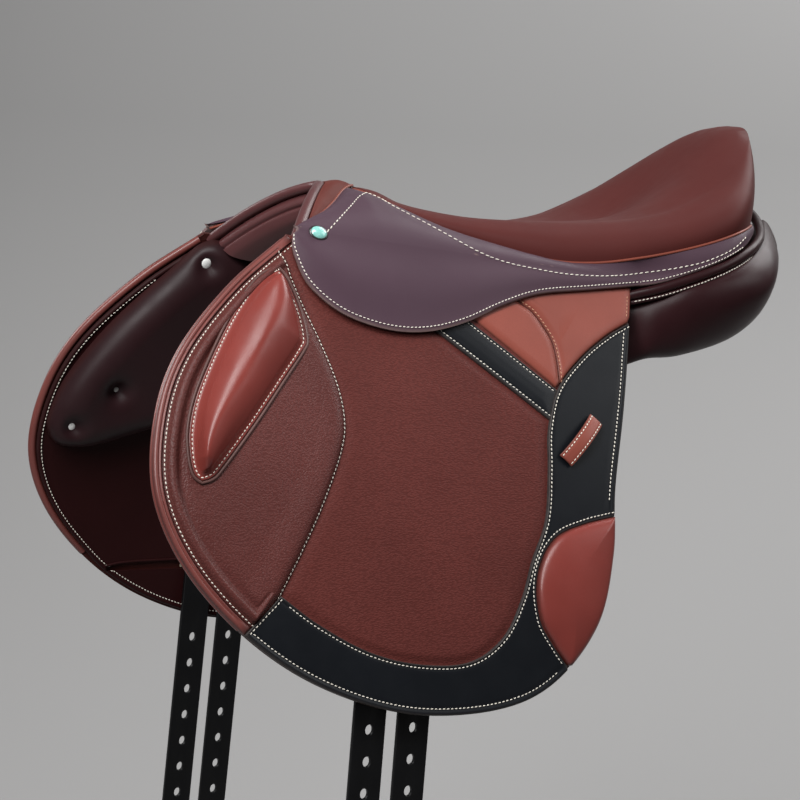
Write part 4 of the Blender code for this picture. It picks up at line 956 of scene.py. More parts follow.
def rule(name: str, left: Array, right: Array, base: float, crown: Crown, columns: int) -> Item:
    """A leather on the flap, ruled straight across between two runs with as many points.

    Args:
        name: the piece's name.
        left: one long edge of the flat pattern.
        right: the other.
        base: how far out its back lies.
        crown: how far out its face lies, from flat points and their distance to the cut edge.
        columns: how many columns lie between its edges.

    Returns:
        The closed piece.
    """
    wide = np.maximum(np.linalg.norm(right - left, axis=1), 1e-6)[:, None]
    insets = np.array((0.0, 0.0004, 0.0009, 0.0016, 0.0026, 0.0038))
    edge = np.minimum(insets / wide, 0.3 * np.arange(6) / 5)
    inner = edge[:, -1:] + (1 - 2 * edge[:, -1:]) * np.linspace(0, 1, columns + 2)[None, 1:-1]
    shares = np.concatenate([edge, inner, 1 - edge[:, ::-1]], axis=1)
    lay = left[:, None] + (right - left)[:, None] * shares[..., None]
    flat = lay.reshape(-1, 2)
    gap = gap_to(flat, np.vstack([left, right[::-1]]), closed=True)
    out = crown(flat, gap).reshape(shares.shape)
    mark = bead(gap, 0, 0.0011).reshape(shares.shape)
    under = lay[:, [-1, shares.shape[1] // 2, 0]]
    rings = np.concatenate([FORM.place(lay, out), FORM.place(under, base)], axis=1)
    return Bench.closed(name, rings, np.concatenate([mark, np.ones(under.shape[:2])], axis=1))


def cut_out(
    item: Item, edge: Array, middle: Sequence[tuple[float, float]], low: float, high: float
) -> None:
    """Cut a notch or slot through a leather on the flap.

    Args:
        item: the leather, which is changed.
        edge: the cut's flat edge, closed on itself.
        middle: the cut's middle line.
        low: how far out the cut starts.
        high: how far out it ends.
    """
    pattern = Pattern(edge[:-1], np.array(middle), insets=(0.0, 0.0005), inner=1)
    cutter = pattern.wrap("cutter", low, lambda flat, gap: np.full(len(flat), high))
    Bench.apply(item, "BOOLEAN", object=cutter, operation="DIFFERENCE")
    bpy.data.objects.remove(cutter)


@dataclass
class Thread:
    """Waxed thread, sewn as rows of single stitches."""

    material: Material
    pitch: float = 0.0032
    length: float = 0.0022
    radius: float = 0.00048
    sink: float = 0.0001
    slant: float = 7.0
    form: tuple[Array, list[list[int]]] = field(init=False)

    def __post_init__(self) -> None:
        """Model one stitch: a small round drawn out along the seam."""
        item = Bench.ball(
            "stitch",
            self.radius,
            (6, 5),
            lambda: bpy.ops.transform.rotate(value=math.pi / 2, orient_axis="Y", center_override=(0, 0, 0)),
            lambda: bpy.ops.transform.resize(value=(self.length / 2 / self.radius, 1, 0.8), center_override=(0, 0, 0)),
        )
        points = np.array([tuple(vertex.co) for vertex in item.data.vertices])
        self.form = points, [list(face.vertices) for face in item.data.polygons]
        bpy.data.objects.remove(item)

    def sew(self, name: str, guide: Array, ground: BVHTree) -> Item:
        """Sew a row along a guide.

        Args:
            name: the row's name.
            guide: points near the surface that the row follows.
            ground: the faces that the stitches lie on.

        Returns:
            The row, one mesh.
        """
        run = even(guide, self.pitch)
        points, faces = self.form
        made: list[Array] = []
        joined: list[list[int]] = []
        places = []
        for point in run:
            spot, normal, _, _ = ground.find_nearest(Vector(point))
            if spot is not None:
                places.append((np.array(spot), np.array(normal)))
        for i, (spot, normal) in enumerate(places):
            before, after = places[max(0, i - 1)][0], places[min(len(places) - 1, i + 1)][0]
            way = after - before
            way -= normal * (way @ normal)
            if np.linalg.norm(way) < 1e-7:
                continue
            way /= np.linalg.norm(way)
            side = np.cross(normal, way)
            turn = math.radians(self.slant)
            way, side = way * math.cos(turn) + side * math.sin(turn), side * math.cos(turn) - way * math.sin(turn)
            base = len(made) * len(points)
            made.append(points @ np.array([way, side, normal]) + spot + normal * (self.radius * 0.8 - self.sink))
            joined += [[base + k for k in face] for face in faces]
        data = bpy.data.meshes.new(name)
        data.from_pydata(np.vstack(made).tolist(), [], joined)
        return Bench.finish(Bench.add(name, data), self.material, 80)


@dataclass
class Dresser:
    """Keeps the finishes and puts each finished piece on its body."""

    finishes: dict[str, Material]

    def wear(self, item: Item, body: str, slot: str, *nodes: str, fill: float | None = None) -> None:
        """Put a finished piece on its body and report it.

        Args:
            item: the piece.
            body: the body that it rides on.
            slot: not used.
            nodes: the nodes that it stands for.
            fill: not used.
        """
        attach(item, body)
        if nodes:
            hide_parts(*nodes)
        log.info("%s: %d faces on %s", item.name, len(item.data.polygons), body)

    @staticmethod
    def body_on(side: Side, body: str) -> str:
        """A body's full name. All but the seat and tree have one on each side."""
        return body if body == "seat_and_tree" else f"{body}_{side.value}"

    def pair(
        self,
        item: Item,
        body: str,
        slot: str,
        *nodes: str,
        finish: str | None = None,
        angle: float = 40,
        fill: float | None = None,
    ) -> None:
        """Wear a near-side piece and its off-side twin.

        Args:
            item: the near-side piece.
            body: the body that it rides on, without its side.
            slot: passed on to wear, which doesn't use it.
            nodes: the nodes that it stands for, without their side.
            finish: the finish that it gets, unless it has one.
            angle: edges sharper than this stay sharp, in degrees.
            fill: passed on to wear, which doesn't use it.
        """
        if finish is not None:
            Bench.finish(item, self.finishes[finish], angle)
        twin = Bench.twin(item)
        for made, side in ((item, Side.NEAR), (twin, Side.OFF)):
            full = (f"{node}_{side.value}" for node in nodes)
            self.wear(made, self.body_on(side, body), slot, *full, fill=fill)

    def node(self, name: str, finish: str, both: bool = True) -> None:
        """Give a node of the frame its material.

        Args:
            name: the node, without its side.
            finish: its finish.
            both: whether it has one on each side.
        """
        for full in (f"{name}_near", f"{name}_off") if both else (name,):
            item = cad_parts[full]
            item.data.materials.clear()
            item.data.materials.append(self.finishes[finish])
            log.info("%s: frame node in %s", full, finish)


@dataclass
class Stuffing:
    """Air and foam behind a leather face, pressed out by a short cloth simulation."""

    pressure: float = 4.0
    frames: int = 20
    cap: float = 0.003
    stiffness: float = 12.0
    calm: int = 60

    def press(self, item: Item, held: Array) -> None:
        """Press a closed form out, except where it is held.

        Args:
            item: the piece, which is changed.
            held: for each point, 1 where it is sewn down and 0 where it is free.
        """
        start = np.array([tuple(vertex.co) for vertex in item.data.vertices])
        group = item.vertex_groups.new(name="held")
        for i, weight in enumerate(held):
            if weight > 0:
                group.add([i], float(weight), "REPLACE")
        cloth = item.modifiers.new("cloth", "CLOTH")
        settings = cloth.settings
        settings.vertex_group_mass = "held"
        settings.quality = 6
        settings.mass = 0.3
        settings.tension_stiffness = settings.compression_stiffness = self.stiffness
        settings.shear_stiffness = self.stiffness / 2
        settings.bending_stiffness = 0.5
        settings.use_pressure = True
        settings.uniform_pressure_force = self.pressure
        settings.effector_weights.gravity = 0
        cloth.collision_settings.use_collision = False
        cloth.point_cache.frame_start, cloth.point_cache.frame_end = 1, self.frames
        scene = bpy.context.scene
        for number in range(1, self.frames + 1):
            scene.frame_set(number)
        Bench.hold(item)
        bpy.ops.object.modifier_apply(modifier=cloth.name)
        moved = np.array([tuple(vertex.co) for vertex in item.data.vertices]) - start
        far = np.linalg.norm(moved, axis=1)
        moved *= np.minimum(1, self.cap / np.maximum(far, 1e-9))[:, None]
        edges = np.zeros(2 * len(item.data.edges), np.int32)
        item.data.edges.foreach_get("vertices", edges)
        first, second = edges.reshape(-1, 2).T
        joined = np.bincount(edges, minlength=len(moved))[:, None]
        for _ in range(self.calm):
            nearby = np.zeros_like(moved)
            np.add.at(nearby, first, moved[second])
            np.add.at(nearby, second, moved[first])
            moved = 0.5 * moved + 0.5 * nearby / joined
        moved *= 1 - held[:, None]
        item.data.vertices.foreach_set("co", (start + moved).reshape(-1).astype(np.float32))
        item.vertex_groups.clear()
        scene.frame_set(1)
        log.info("%s: pressed out by up to %.1f mm", item.name, 1000 * min(self.cap, far.max()))


@dataclass
class Flap:
    """The near flap and all that is sewn to its face."""

    dresser: Dresser
    white: Thread
    tan: Thread
    leather: float = 0.003
    face: float = 0.0024
    roll_width: float = 0.0069
    block_height: float = 0.016
    row_inset: float = 0.0026

    def row(self, name: str, flat: Array, *grounds: Item, thread: Thread | None = None) -> None:
        """Sew a row of stitches on both flaps.

        Args:
            name: the row's name, without its side.
            flat: the flat run that it follows.
            grounds: the pieces that it is sewn through.
            thread: its thread, if it isn't the white one.
        """
        ground = Bench.ground(*grounds)
        high, low = FORM.place(flat, 0.05), FORM.place(flat, -0.01)
        found = []
        for start, end in zip(high, low):
            hit = ground.ray_cast(Vector(start), Vector(end - start).normalized(), 0.06)[0]
            if hit is not None:
                found.append(tuple(hit))
        made = (thread or self.white).sew(f"{name}_near", np.array(found), ground)
        self.dresser.pair(made, "flap", "flap")

    def build(self) -> None:
        """Build the flap, its roll, knee pieces, guard, strap, side panel, half moon and keeper."""
        flap = self.build_leather()
        self.build_front(flap)
        self.build_guard()
        self.build_moon()
        self.build_strap()
        self.build_side()
        self.build_keeper()

    def build_leather(self) -> Item:
        """The flap's own leather, pillowed towards the pieces that are sewn round its middle.

        Returns:
            The near one.
        """
        ends = EDGE[[0, -1], 0]
        corners = np.stack([ends, lift_down(ends) + 0.0006], axis=1)
        left = np.vstack([corners[:1], even(EDGE[: EDGE_BOTTOM + 1], 0.0028)])
        rear = along_run(EDGE[: EDGE_BOTTOM - 1 : -1], np.linspace(0, 1, len(left) - 1))
        right = np.vstack([corners[1:], rear])
        strap = np.array(STRAP[:2])

        def crown(flat: Array, gap: Array) -> Array:
            """The pillow, low beside the sewn pieces and the edge."""
            near = np.minimum(gap_to(flat, GUARD_LINE), gap_to(flat, strap))
            near = np.minimum(near, gap_to(flat, SEAM_LINE))
            pillow = 0.0016 * eased(near, 0.0005, 0.0075)
            return pillow * eased(gap, 0.004, 0.02) + 0.0004 * rounded(gap, 0.001) - 0.0004

        item = rule("flap_leather_near", left, right, -self.leather, crown, 90)
        cut_out(item, even(np.array(NOTCH), 0.004), NOTCH_MIDDLE, -0.02, 0.012)
        self.dresser.pair(item, "flap", "flap", "flap", finish="flap")
        return item

    def build_front(self, flap: Item) -> None:
        """The front roll, the knee panel with its ridge, and the knee block with its piping.

        Args:
            flap: the flap's own leather.
        """
        outer = EDGE[: GUARD_START + 1]
        inner = beside(outer, self.roll_width)
        dense = smooth(np.array(FRONT_PROFILE) / 1000, 8)

        def ridged(flat: Array) -> Array:
            """The roll and the ridge, lower towards the top."""
            low = 1 - 0.3 * eased(0.04 - flat[:, 1], 0.0, 0.03)
            return np.interp(gap_to(flat, outer), dense[:, 0], dense[:, 1]) * low

        roll = Pattern(
            np.vstack([even(outer, 0.0024), even(inner[::-1], 0.0024)]),
            even(beside(outer, self.roll_width / 2)[3:-3], 0.004),
            insets=(0.0, 0.0003, 0.0007, 0.0011, 0.0016, 0.0021, 0.0026),
            inner=3,
        )
        name = "front_roll_leather_near"
        rolled = roll.wrap(name, SUNK, lambda flat, gap: ridged(flat) * eased(gap, -0.0008, 0.0003))
        # The roll's finish is lightened, a painted highlight along the front roll.
        self.dresser.pair(rolled, "flap", "roll", "front_roll", finish="roll", angle=75, fill=0.8)
        front = beside(outer, self.roll_width + 0.0002)
        front = front[front[:, 1] > SEAM_EDGE[0][1] + 0.0008]
        outline = np.vstack([even(front, 0.0022), even(SEAM_EDGE[::-1], 0.0022)])

        def knee(flat: Array, gap: Array) -> Array:
            """The padded panel, with a lip along its seam, under the ridge."""
            seam = gap_to(flat, SEAM_EDGE)
            lip = 0.001 + 0.005 * rounded(seam - 0.0019, 0.0085) - 0.0014 * eased(seam, 0.01, 0.03)
            blend = eased(gap_to(flat, outer), 0.0185, 0.026)
            padded = np.minimum(ridged(flat), lip + 0.0026) * (1 - blend) + lip * blend
            return padded * eased(gap, -0.001, 0.0003)

        pattern = Pattern(outline, smooth(KNEE_MIDDLE, 8), inner=30)
        panel = pattern.wrap("knee_panel_leather_near", SUNK, knee)
        self.dresser.pair(panel, "flap", "flap", "knee_panel", finish="knee", angle=75, fill=0.5)
        row = beside(outer, 0.0089)
        start = [i for i, p in enumerate(row) if p[1] < SEAM_LINE[0][1] + 0.0015][-1] + 1
        self.row("front_row", row[start:], panel)
        self.row("front_top_row", row[:start], flap)
        self.row("knee_seam_row", even(SEAM_LINE, 0.001)[3:], panel)
        self.build_block()

    def build_block(self) -> None:
        """The knee block: two long facets that meet in a soft ridge, on a stitched lip with piping."""
        fore, aft = smooth(BLOCK_FRONT, 10), smooth(BLOCK_REAR, 10)
        around = even(np.vstack([fore, aft[1:]]), 0.0022)
        outline = beside(np.vstack([around[-2:-1], around, around[1:2]]), 0.001)[1:-2]
        ridge = smooth(BLOCK_RIDGE, 8)
        lip, base = 0.0036, 0.0044

        def crown(flat: Array, gap: Array) -> Array:
            """The two facets, with a soft ridge between them and a lip round them."""
            first, second = (np.maximum(gap_to(flat, run) - 0.001 - lip, 1e-5) for run in (fore, aft))
            up = (first**-3 + second**-3) ** (-1 / 3)
            soft = 0.0044 + 0.01 * eased(0.098 - flat[:, 1], 0.0, 0.05)
            away = np.sqrt(gap_to(flat, ridge) ** 2 + soft**2) - 0.75 * soft
            share = up / (up + away)
            edge = base + 0.0016 * rounded(gap, 0.0014) - 0.0007 * bead(gap, 0.0024, 0.0007)
            return edge + self.block_height * share**0.8 * eased(gap, lip - 0.0012, lip + 0.004)

        pattern = Pattern(outline, even(ridge, 0.004), inner=26)
        block = pattern.wrap("knee_block_leather_near", 0.0014, crown)
        mark = np.zeros(len(block.data.vertices), np.float32)
        block.data.attributes["edge"].data.foreach_get("value", mark)
        Stuffing(cap=0.0009).press(block, np.clip(mark * 3, 0, 1))
        self.dresser.pair(block, "flap", "chestnut", "knee_block", finish="chestnut", angle=75, fill=0.9)
        loop = np.vstack([outline, outline[:1]])
        cord = FORM.place(beside(loop, -0.001), 0.0054)[:-1]
        piping = Bench.tube("knee_block_piping_near", cord, 0.0011, self.dresser.finishes["edging"], closed=True)
        self.dresser.pair(piping, "flap", "chestnut")
        rows = even(beside(loop, 0.0024), 0.001)
        under = (rows[:, 0] > -0.208) & (rows[:, 1] < 0.06)
        order = np.roll(np.arange(len(rows)), -int(np.argmax(under)))
        self.row("knee_block_row", rows[order][~under[order]], block)

    def guard_outline(self) -> Array:
        """The guard's pattern, round its notch for the half moon.

        Returns:
            Its closed flat outline.
        """
        rear = np.array([p for p in EDGE[MOON_TOP:] if p[1] > GUARD_INNER[-1][1]])
        moon = MOON_LINE[::-1] - (0.0006, 0)
        runs = (EDGE[GUARD_START:MOON_LOW], moon, rear, GUARD_LINE[::-1])
        return np.vstack([even(run, 0.0026) for run in runs])

    def build_guard(self) -> None:
        """The black guard along the bottom and rear, with a turned edge and two rows of stitches."""
        outline = self.guard_outline()

        def crown(flat: Array, gap: Array) -> Array:
            """Flat, with both edges turned."""
            rim, line = gap_to(flat, EDGE), gap_to(flat, GUARD_LINE)
            turned = 0.0008 * bead(rim, 0.0018, 0.0014) - 0.0005 * bead(rim, 0.0047, 0.0009)
            inner = 0.0007 * bead(line, 0.0006, 0.0008) - 0.0005 * bead(line, 0.0026, 0.0008)
            return self.face - 0.0008 + 0.0008 * rounded(gap, 0.0008) + turned + inner

        guard = Pattern(outline, smooth(GUARD_MIDDLE, 8), inner=8).wrap("guard_leather_near", SUNK, crown)
        self.dresser.pair(guard, "flap", "black", "guard", finish="black", angle=60)
        ends = np.array([GUARD_LINE[0], EDGE[GUARD_START]])
        front = even(beside(ends, 0.0022), 0.001)
        self.row("guard_front_row", front[2:-4], guard)
        self.row("guard_inner_row", beside(GUARD_LINE, -self.row_inset)[3:], guard)
        outer = beside(EDGE, 0.0048)
        self.row("guard_outer_row", outer[GUARD_START + 1 : MOON_LOW - 2], guard)
        rear = outer[MOON_TOP + 2 :]
        self.row("guard_rear_row", rear[rear[:, 1] > 0.069], guard)
        self.row("moon_row", beside(MOON_LINE, -0.0032)[3:-3], guard)

    def build_moon(self) -> None:
        """The half-moon pad at the lower rear corner."""
        outline = np.vstack([even(EDGE[MOON_LOW:MOON_TOP], 0.0024), even(MOON_LINE, 0.0024)])

        def crown(flat: Array, gap: Array) -> Array:
            """A full, round pad."""
            return 0.001 + 0.002 * rounded(gap, 0.0045) + 0.007 * rounded(gap, 0.03)

        pattern = Pattern(outline, smooth(MOON_MIDDLE, 6), inner=14)
        moon = pattern.wrap("half_moon_leather_near", SUNK, crown)
        self.dresser.pair(moon, "flap", "chestnut", "half_moon_pad", finish="chestnut", angle=70, fill=0.8)

    def build_strap(self) -> None:
        """The plain black strap across the flap, stitched along both edges."""
        low, high = (even(np.array(ends), 0.0024) for ends in (STRAP[:2], STRAP[3:1:-1]))
        high = along_run(high, np.linspace(0, 1, len(low)))

        def crown(flat: Array, gap: Array) -> Array:
            """Flat, with a groove for each row."""
            groove = 0.0005 * bead(gap, self.row_inset, 0.0008)
            return self.face - 0.0008 + 0.0008 * rounded(gap, 0.001) - groove + 0.0004 * eased(gap, 0.003, 0.01)

        strap = rule("strap_leather_near", low, high, SUNK, crown, 16)
        self.dresser.pair(strap, "flap", "black", "diagonal_strap", finish="black", angle=60)
        for name, ends, by in (("strap_lower_row", STRAP[:2], 1), ("strap_upper_row", STRAP[3:1:-1], -1)):
            self.row(name, beside(even(np.array(ends), 0.001)[3:-3], self.row_inset * by), strap)

    def build_side(self) -> None:
        """The chestnut side panel: two padded fields that meet in a curved, stitched seam."""
        corner = np.array((STRAP[2][0], STRAP[2][1] - 0.0012))
        divider = smooth(SIDE_DIVIDER, 8)
        divider = divider[divider[:, 1] < corner[1] - 0.004]
        top = even(np.array(SIDE_TOP), 0.002)
        seam = divider[0][0]
        guarded = np.array([p for p in GUARD_LINE if p[1] < corner[1] - 0.002]) - (0, 0.0008)
        rear = np.array([p for p in EDGE if p[0] > 0 and guarded[-1][1] - 0.0006 > p[1] > SIDE_TOP[0][1]])
        rear = np.vstack([rear, [(0.0905, 0.0345)]])
        joint = [SIDE_TOP[-1], corner - (0.001, 0.0008)]
        front_lines = [top[top[:, 0] < seam - 0.0012], joint, beside(divider, -0.0002)[::-1]]
        rear_lines = [top[top[:, 0] > seam + 0.0008], beside(divider, 0.0002), guarded, rear]

        def crown(flat: Array, gap: Array) -> Array:
            """The padded field, pressed in along the seam."""
            return 0.0012 + 0.0026 * rounded(gap, 0.007) - 0.0004 * bead(gap_to(flat, divider), 0.0018, 0.0008)

        for name, lines, middle, nodes in (
            ("side_front", front_lines, SIDE_FRONT_MIDDLE, ("side_panel",)),
            ("side_rear", rear_lines, SIDE_REAR_MIDDLE, ()),
        ):
            outline = np.vstack([even(np.asarray(line), 0.0018) for line in lines])
            outline = outline[np.r_[True, np.linalg.norm(np.diff(outline, axis=0), axis=1) > 1e-4]]
            part = Pattern(outline, smooth(middle, 8), inner=26).wrap(f"{name}_leather_near", SUNK, crown)
            self.dresser.pair(part, "flap", "chestnut", *nodes, finish="side", angle=60, fill=0.5)
        self.row("divider_row", even(beside(divider, 0.0019), 0.001)[4:-1], part, thread=self.tan)
        edge = beside(EDGE, 0.004)
        shown = (edge[:, 0] > 0) & (edge[:, 1] < 0.064) & (edge[:, 1] > 0.034)
        self.row("side_rear_row", edge[shown], part, thread=self.tan)

    def build_keeper(self) -> None:
        """The keeper loop, a low arch between its two sewn ends."""
        start, end = np.array(KEEPER_ENDS)
        way = (end - start) / np.linalg.norm(end - start)
        half = 0.0066
        side = np.array([way[1], -way[0]]) * half
        shares = np.linspace(0, 1, 41)
        rise = 0.0046 * np.sin(np.pi * shares) ** 0.7
        flat = start + shares[:, None] * (end - start)
        across = np.linspace(-1, 1, 13)
        rows = []
        for k in across:
            rounding = 0.0008 * (1 - k**4) - 0.0004 * bead(abs(k), 0.66, 0.12)
            rows.append(FORM.place(flat + k * side, self.face + 0.002 + rise + rounding))
        points = np.stack(rows, axis=1)
        ends = np.minimum(shares, 1 - shares)[:, None] * 0.045
        mark = bead(np.minimum(ends, (1 - np.abs(across)) * half), 0, 0.0008)
        keeper = Bench.sheet("keeper_leather_near", points, 0.0022, (0, -1, 0.3), mark, round_by=0.0007)
        self.dresser.pair(keeper, "flap", "chestnut", "keeper_loop", finish="side", angle=50)
        for name, k in (("keeper_first_row", -0.66), ("keeper_second_row", 0.66)):
            self.row(name, even(flat[2:-2] + k * side, 0.001), keeper)


@dataclass
class FlapInside:
    """The flap's inside: its lining with the billets' slot, the tufted point pad and the billets."""

    dresser: Dresser
    white: Thread
    back: float = -0.0051
    leather: float = 0.002
    pad_height: float = 0.0215
    billet_length: float = 0.074 + 8 * 0.0254 + 0.034
    billet_half: float = 0.0125
    billet_thick: float = 0.0019
    billet_round: float = 0.0006
    holes: int = 10
    first_hole: float = 0.0634
    hole_pitch: float = 0.0231
    hole: tuple[float, float] = (0.0036, 0.0045)

    def build(self) -> None:
        """Build the lining, the pad with its tufts, and both billets."""
        self.build_lining()
        self.build_pad()
        self.build_billets()

    def build_lining(self) -> None:
        """The lining, cut through for the billets, its lip over the slot and its row along the edge."""
        finishes = self.dresser.finishes
        front = 1 - eased(np.arange(len(EDGE)), 66.0, 76.0)
        run = beside(EDGE, (0.0025 + 0.003 * front)[:, None])[4:]
        outline = np.vstack([even(run, 0.003), even(np.array(LINING_TOP), 0.003)])
        middle = smooth(LINING_MIDDLE, 8)

        def crown(flat: Array, gap: Array) -> Array:
            """Flat, with a rolled edge."""
            roll = 0.0012 * bead(gap, 0.002, 0.0016) - 0.0006 * bead(gap, 0.0058, 0.001)
            return self.back - self.leather - roll + 0.0006 * (1 - rounded(gap, 0.001))

        lining = Pattern(outline, middle, inner=34).wrap("lining_leather_near", self.back, crown)
        cut_out(lining, even(np.array(SLOT), 0.003), SLOT_MIDDLE, -0.012, 0.002)
        self.dresser.pair(lining, "flap", "lining", "lining", finish="lining", angle=50)
        lip = FORM.place(even(smooth(SLOT_LIP, 10), 0.003), self.back - self.leather)
        self.dresser.pair(Bench.tube("slot_lip_near", lip, 0.0011, finishes["lining"]), "flap", "lining")
        inset = (0.0075 + 0.0015 * front)[:, None]
        row = FORM.place(beside(EDGE, inset)[10:175], self.back - self.leather - 0.001)
        self.dresser.pair(self.white.sew("lining_row_near", row, Bench.ground(lining)), "flap", "lining")
        turned = FORM.place(beside(EDGE, 0.0026)[1:GUARD_START], -0.0016)
        # The turned edge shares the roll's lightened finish, a painted highlight.
        self.dresser.pair(Bench.tube("turned_edge_near", turned, 0.0032, finishes["roll"], sides=5), "flap", "roll")

    def build_pad(self) -> None:
        """The point pad, drawn in by three white tufts."""
        outline = even(smooth(POINT_PAD, 8), 0.0028)[:-1]
        middle = smooth(POINT_PAD_MIDDLE, 6)

        def crown(flat: Array, gap: Array) -> Array:
            """The pad, drawn in at each tuft."""
            height = self.pad_height * rounded(gap, 0.024) ** 1.1 + 0.0016
            for tuft, _ in POINT_TUFTS:
                far = np.linalg.norm(flat - np.array(tuft), axis=1)
                height = height * (1 - 0.36 * bead(far, 0, 0.0085) - 0.12 * bead(far, 0, 0.018))
            return self.back - self.leather - height

        base = self.back - self.leather + 0.0003
        pad = Pattern(outline, middle, inner=30).wrap("point_pad_leather_near", base, crown)
        self.dresser.pair(pad, "flap", "pad", "point_pad", finish="pad", angle=75, fill=0.8)
        ground = Bench.ground(pad)
        for i, (tuft, size) in enumerate(POINT_TUFTS):
            self.build_tuft(i, np.array([tuft]), size, ground)

    def build_tuft(self, number: int, tuft: Array, size: float, ground: BVHTree) -> None:
        """One oval tuft of white felt in its dimple.

        Args:
            number: the tuft's number.
            tuft: its place on the flap.
            size: its radius.
            ground: the pad's faces.
        """
        inside, outside = FORM.place(tuft, -0.06)[0], FORM.place(tuft, 0.0)[0]
        way = Vector(outside - inside).normalized()
        spot = ground.ray_cast(Vector(inside), way)[0]
        item = Bench.ball(
            f"tuft_{number}_near",
            size,
            (20, 12),
            lambda: bpy.ops.transform.resize(value=(1.12, 0.92, 0.42), center_override=(0, 0, 0)),
        )
        turn = (-way).to_track_quat("Z", "X").to_matrix().to_4x4()
        item.data.transform(Matrix.Translation(spot) @ turn)
        self.dresser.pair(item, "flap", "pad", finish="felt", angle=60)

    def build_billets(self) -> None:
        """The two punched billets, with rounded edges and oval holes."""
        lean_out, lean_forward = math.radians(1.5), math.radians(2.6)
        hung = Vector((-math.sin(lean_forward), -math.sin(lean_out), -math.cos(lean_forward)))
        along = Vector((math.cos(FORM.yaw), -math.sin(FORM.yaw), 0))
        across = (along - hung * along.dot(hung)).normalized()
        facing = across.cross(-hung).normalized()
        turn = Matrix((across, facing.cross(across), facing)).transposed().to_4x4()
        out = self.back - self.leather - self.billet_thick - 0.0008
        for name, place in BILLETS.items():
            curve = bpy.data.curves.new(f"{name}_strap_near", "CURVE")
            curve.dimensions = "2D"
            curve.fill_mode = "BOTH"
            curve.bevel_depth = self.billet_round
            curve.bevel_resolution = 2
            curve.extrude = self.billet_thick - self.billet_round
            item = Bench.convert(curve, self.billet_runs(), closed=True)
            item.data.transform(Matrix.Translation(Vector(FORM.place(np.array([place, 0.307]), out))) @ turn)
            Bench.mend(item)
            self.dresser.pair(item, name, "black", name, finish="billet", angle=35)

    def billet_runs(self) -> list[Array]:
        """A billet's flat outline and its holes.

        Returns:
            The runs, with the billet hanging down from 0.
        """
        half, end = self.billet_half - self.billet_round, -self.billet_length
        tip = [(half, end + 0.02), (half * 0.85, end + 0.01), (0.004, end + 0.0006)]
        tip += [(-x, y) for x, y in tip[::-1]]
        turns = np.linspace(0, 2 * math.pi, 17)[:-1]
        wide, high = self.hole
        hole = np.stack([wide * np.cos(turns), high * np.sin(turns)], axis=1)
        runs = [np.array([(-half, 0), (half, 0), *tip])]
        runs += [hole - (0, self.first_hole + k * self.hole_pitch) for k in range(self.holes)]
        return [np.c_[run, np.zeros(len(run))] for run in runs]


@dataclass
class Seat:
    """The seat leather over its foam, and the piping round it."""

    dresser: Dresser
    leather: float = 0.0018
    steps: int = 8
    across: int = 14
    down: int = 16

    def columns(self) -> tuple[Array, Array, Array]:
        """The runs round the near half.

        Returns:
            The spine, the rim and the welt.
        """
        spine, rim, welt = zip(*SEAT_STATIONS)
        return smooth([(x, 0.0, z) for x, z in spine], self.steps), smooth(rim, self.steps), smooth(welt, self.steps)

    def section(
        self, spine: Array, rim: Array, welt: Array, outward: Array, share: float
    ) -> Array:
        """One section of the seat.

        Args:
            spine: its point on the spine.
            rim: its point on the rim.
            welt: its point on the welt.
            outward: where the rim looks.
            share: how far round from the pommel to the cantle it is.

        Returns:
            Points from the spine over the rim to the welt.
        """
        foot = welt + (rim - welt) / np.linalg.norm(rim - welt) * 0.0015
        reach = max(0.0, float((foot - rim) @ outward))
        bulge = 0.0015 + 0.0085 * share**1.5 * (1 - float(eased(np.array(share), 0.66, 0.92)))
        k = np.linspace(0, 1, self.across, endpoint=False)[:, None]
        top = spine + (rim - spine) * k
        top[:, 2] = spine[2] + (rim[2] - spine[2]) * (k * k * (3 - 2 * k))[:, 0]
        shoulder = rim + outward * (0.62 * reach + 0.4 * bulge)
        side = foot + np.array([0, 0, 0.5 * (rim[2] - foot[2])]) + outward * bulge
        k = np.linspace(0, 1, self.down + 1)[:, None]
        over = rim * (1 - k) ** 3 + shoulder * 3 * k * (1 - k) ** 2 + side * 3 * k * k * (1 - k) + foot * k**3
        return np.vstack([top, over])

    def build(self) -> None:
        """Build the cover, which stands for the foam too, and its piping, and dress the webs."""
        spine, rim, welt = self.columns()
        last = len(rim) - 1
        way = np.gradient(rim, axis=0)
        way[0, 0] = way[-1, 0] = 0.0
        outward = np.stack([way[:, 1], -way[:, 0], np.zeros(last + 1)], axis=1)
        outward /= np.linalg.norm(outward, axis=1)[:, None]
        places = zip(spine, rim, welt, outward)
        half = np.stack([self.section(*place, i / last) for i, place in enumerate(places)])
        whole = np.concatenate([half[:, ::-1], (half * MIRROR)[:, 1:]], axis=1)
        cover = Bench.sheet("seat_leather", whole, self.leather, (0, 0, 1))
        Bench.finish(cover, self.dresser.finishes["seat"], 80)
        self.dresser.wear(cover, "seat_and_tree", "seat", "seat_cover", "seat_foam", fill=0.7)
        loop = np.vstack([welt, (welt * MIRROR)[-2:0:-1]])
        piping = Bench.tube("seat_piping", loop, 0.0011, self.dresser.finishes["piping"], closed=True)
        self.dresser.wear(piping, "seat_and_tree", "piping", "seat_welt")
        self.dresser.node("seat_webs", "web", both=False)


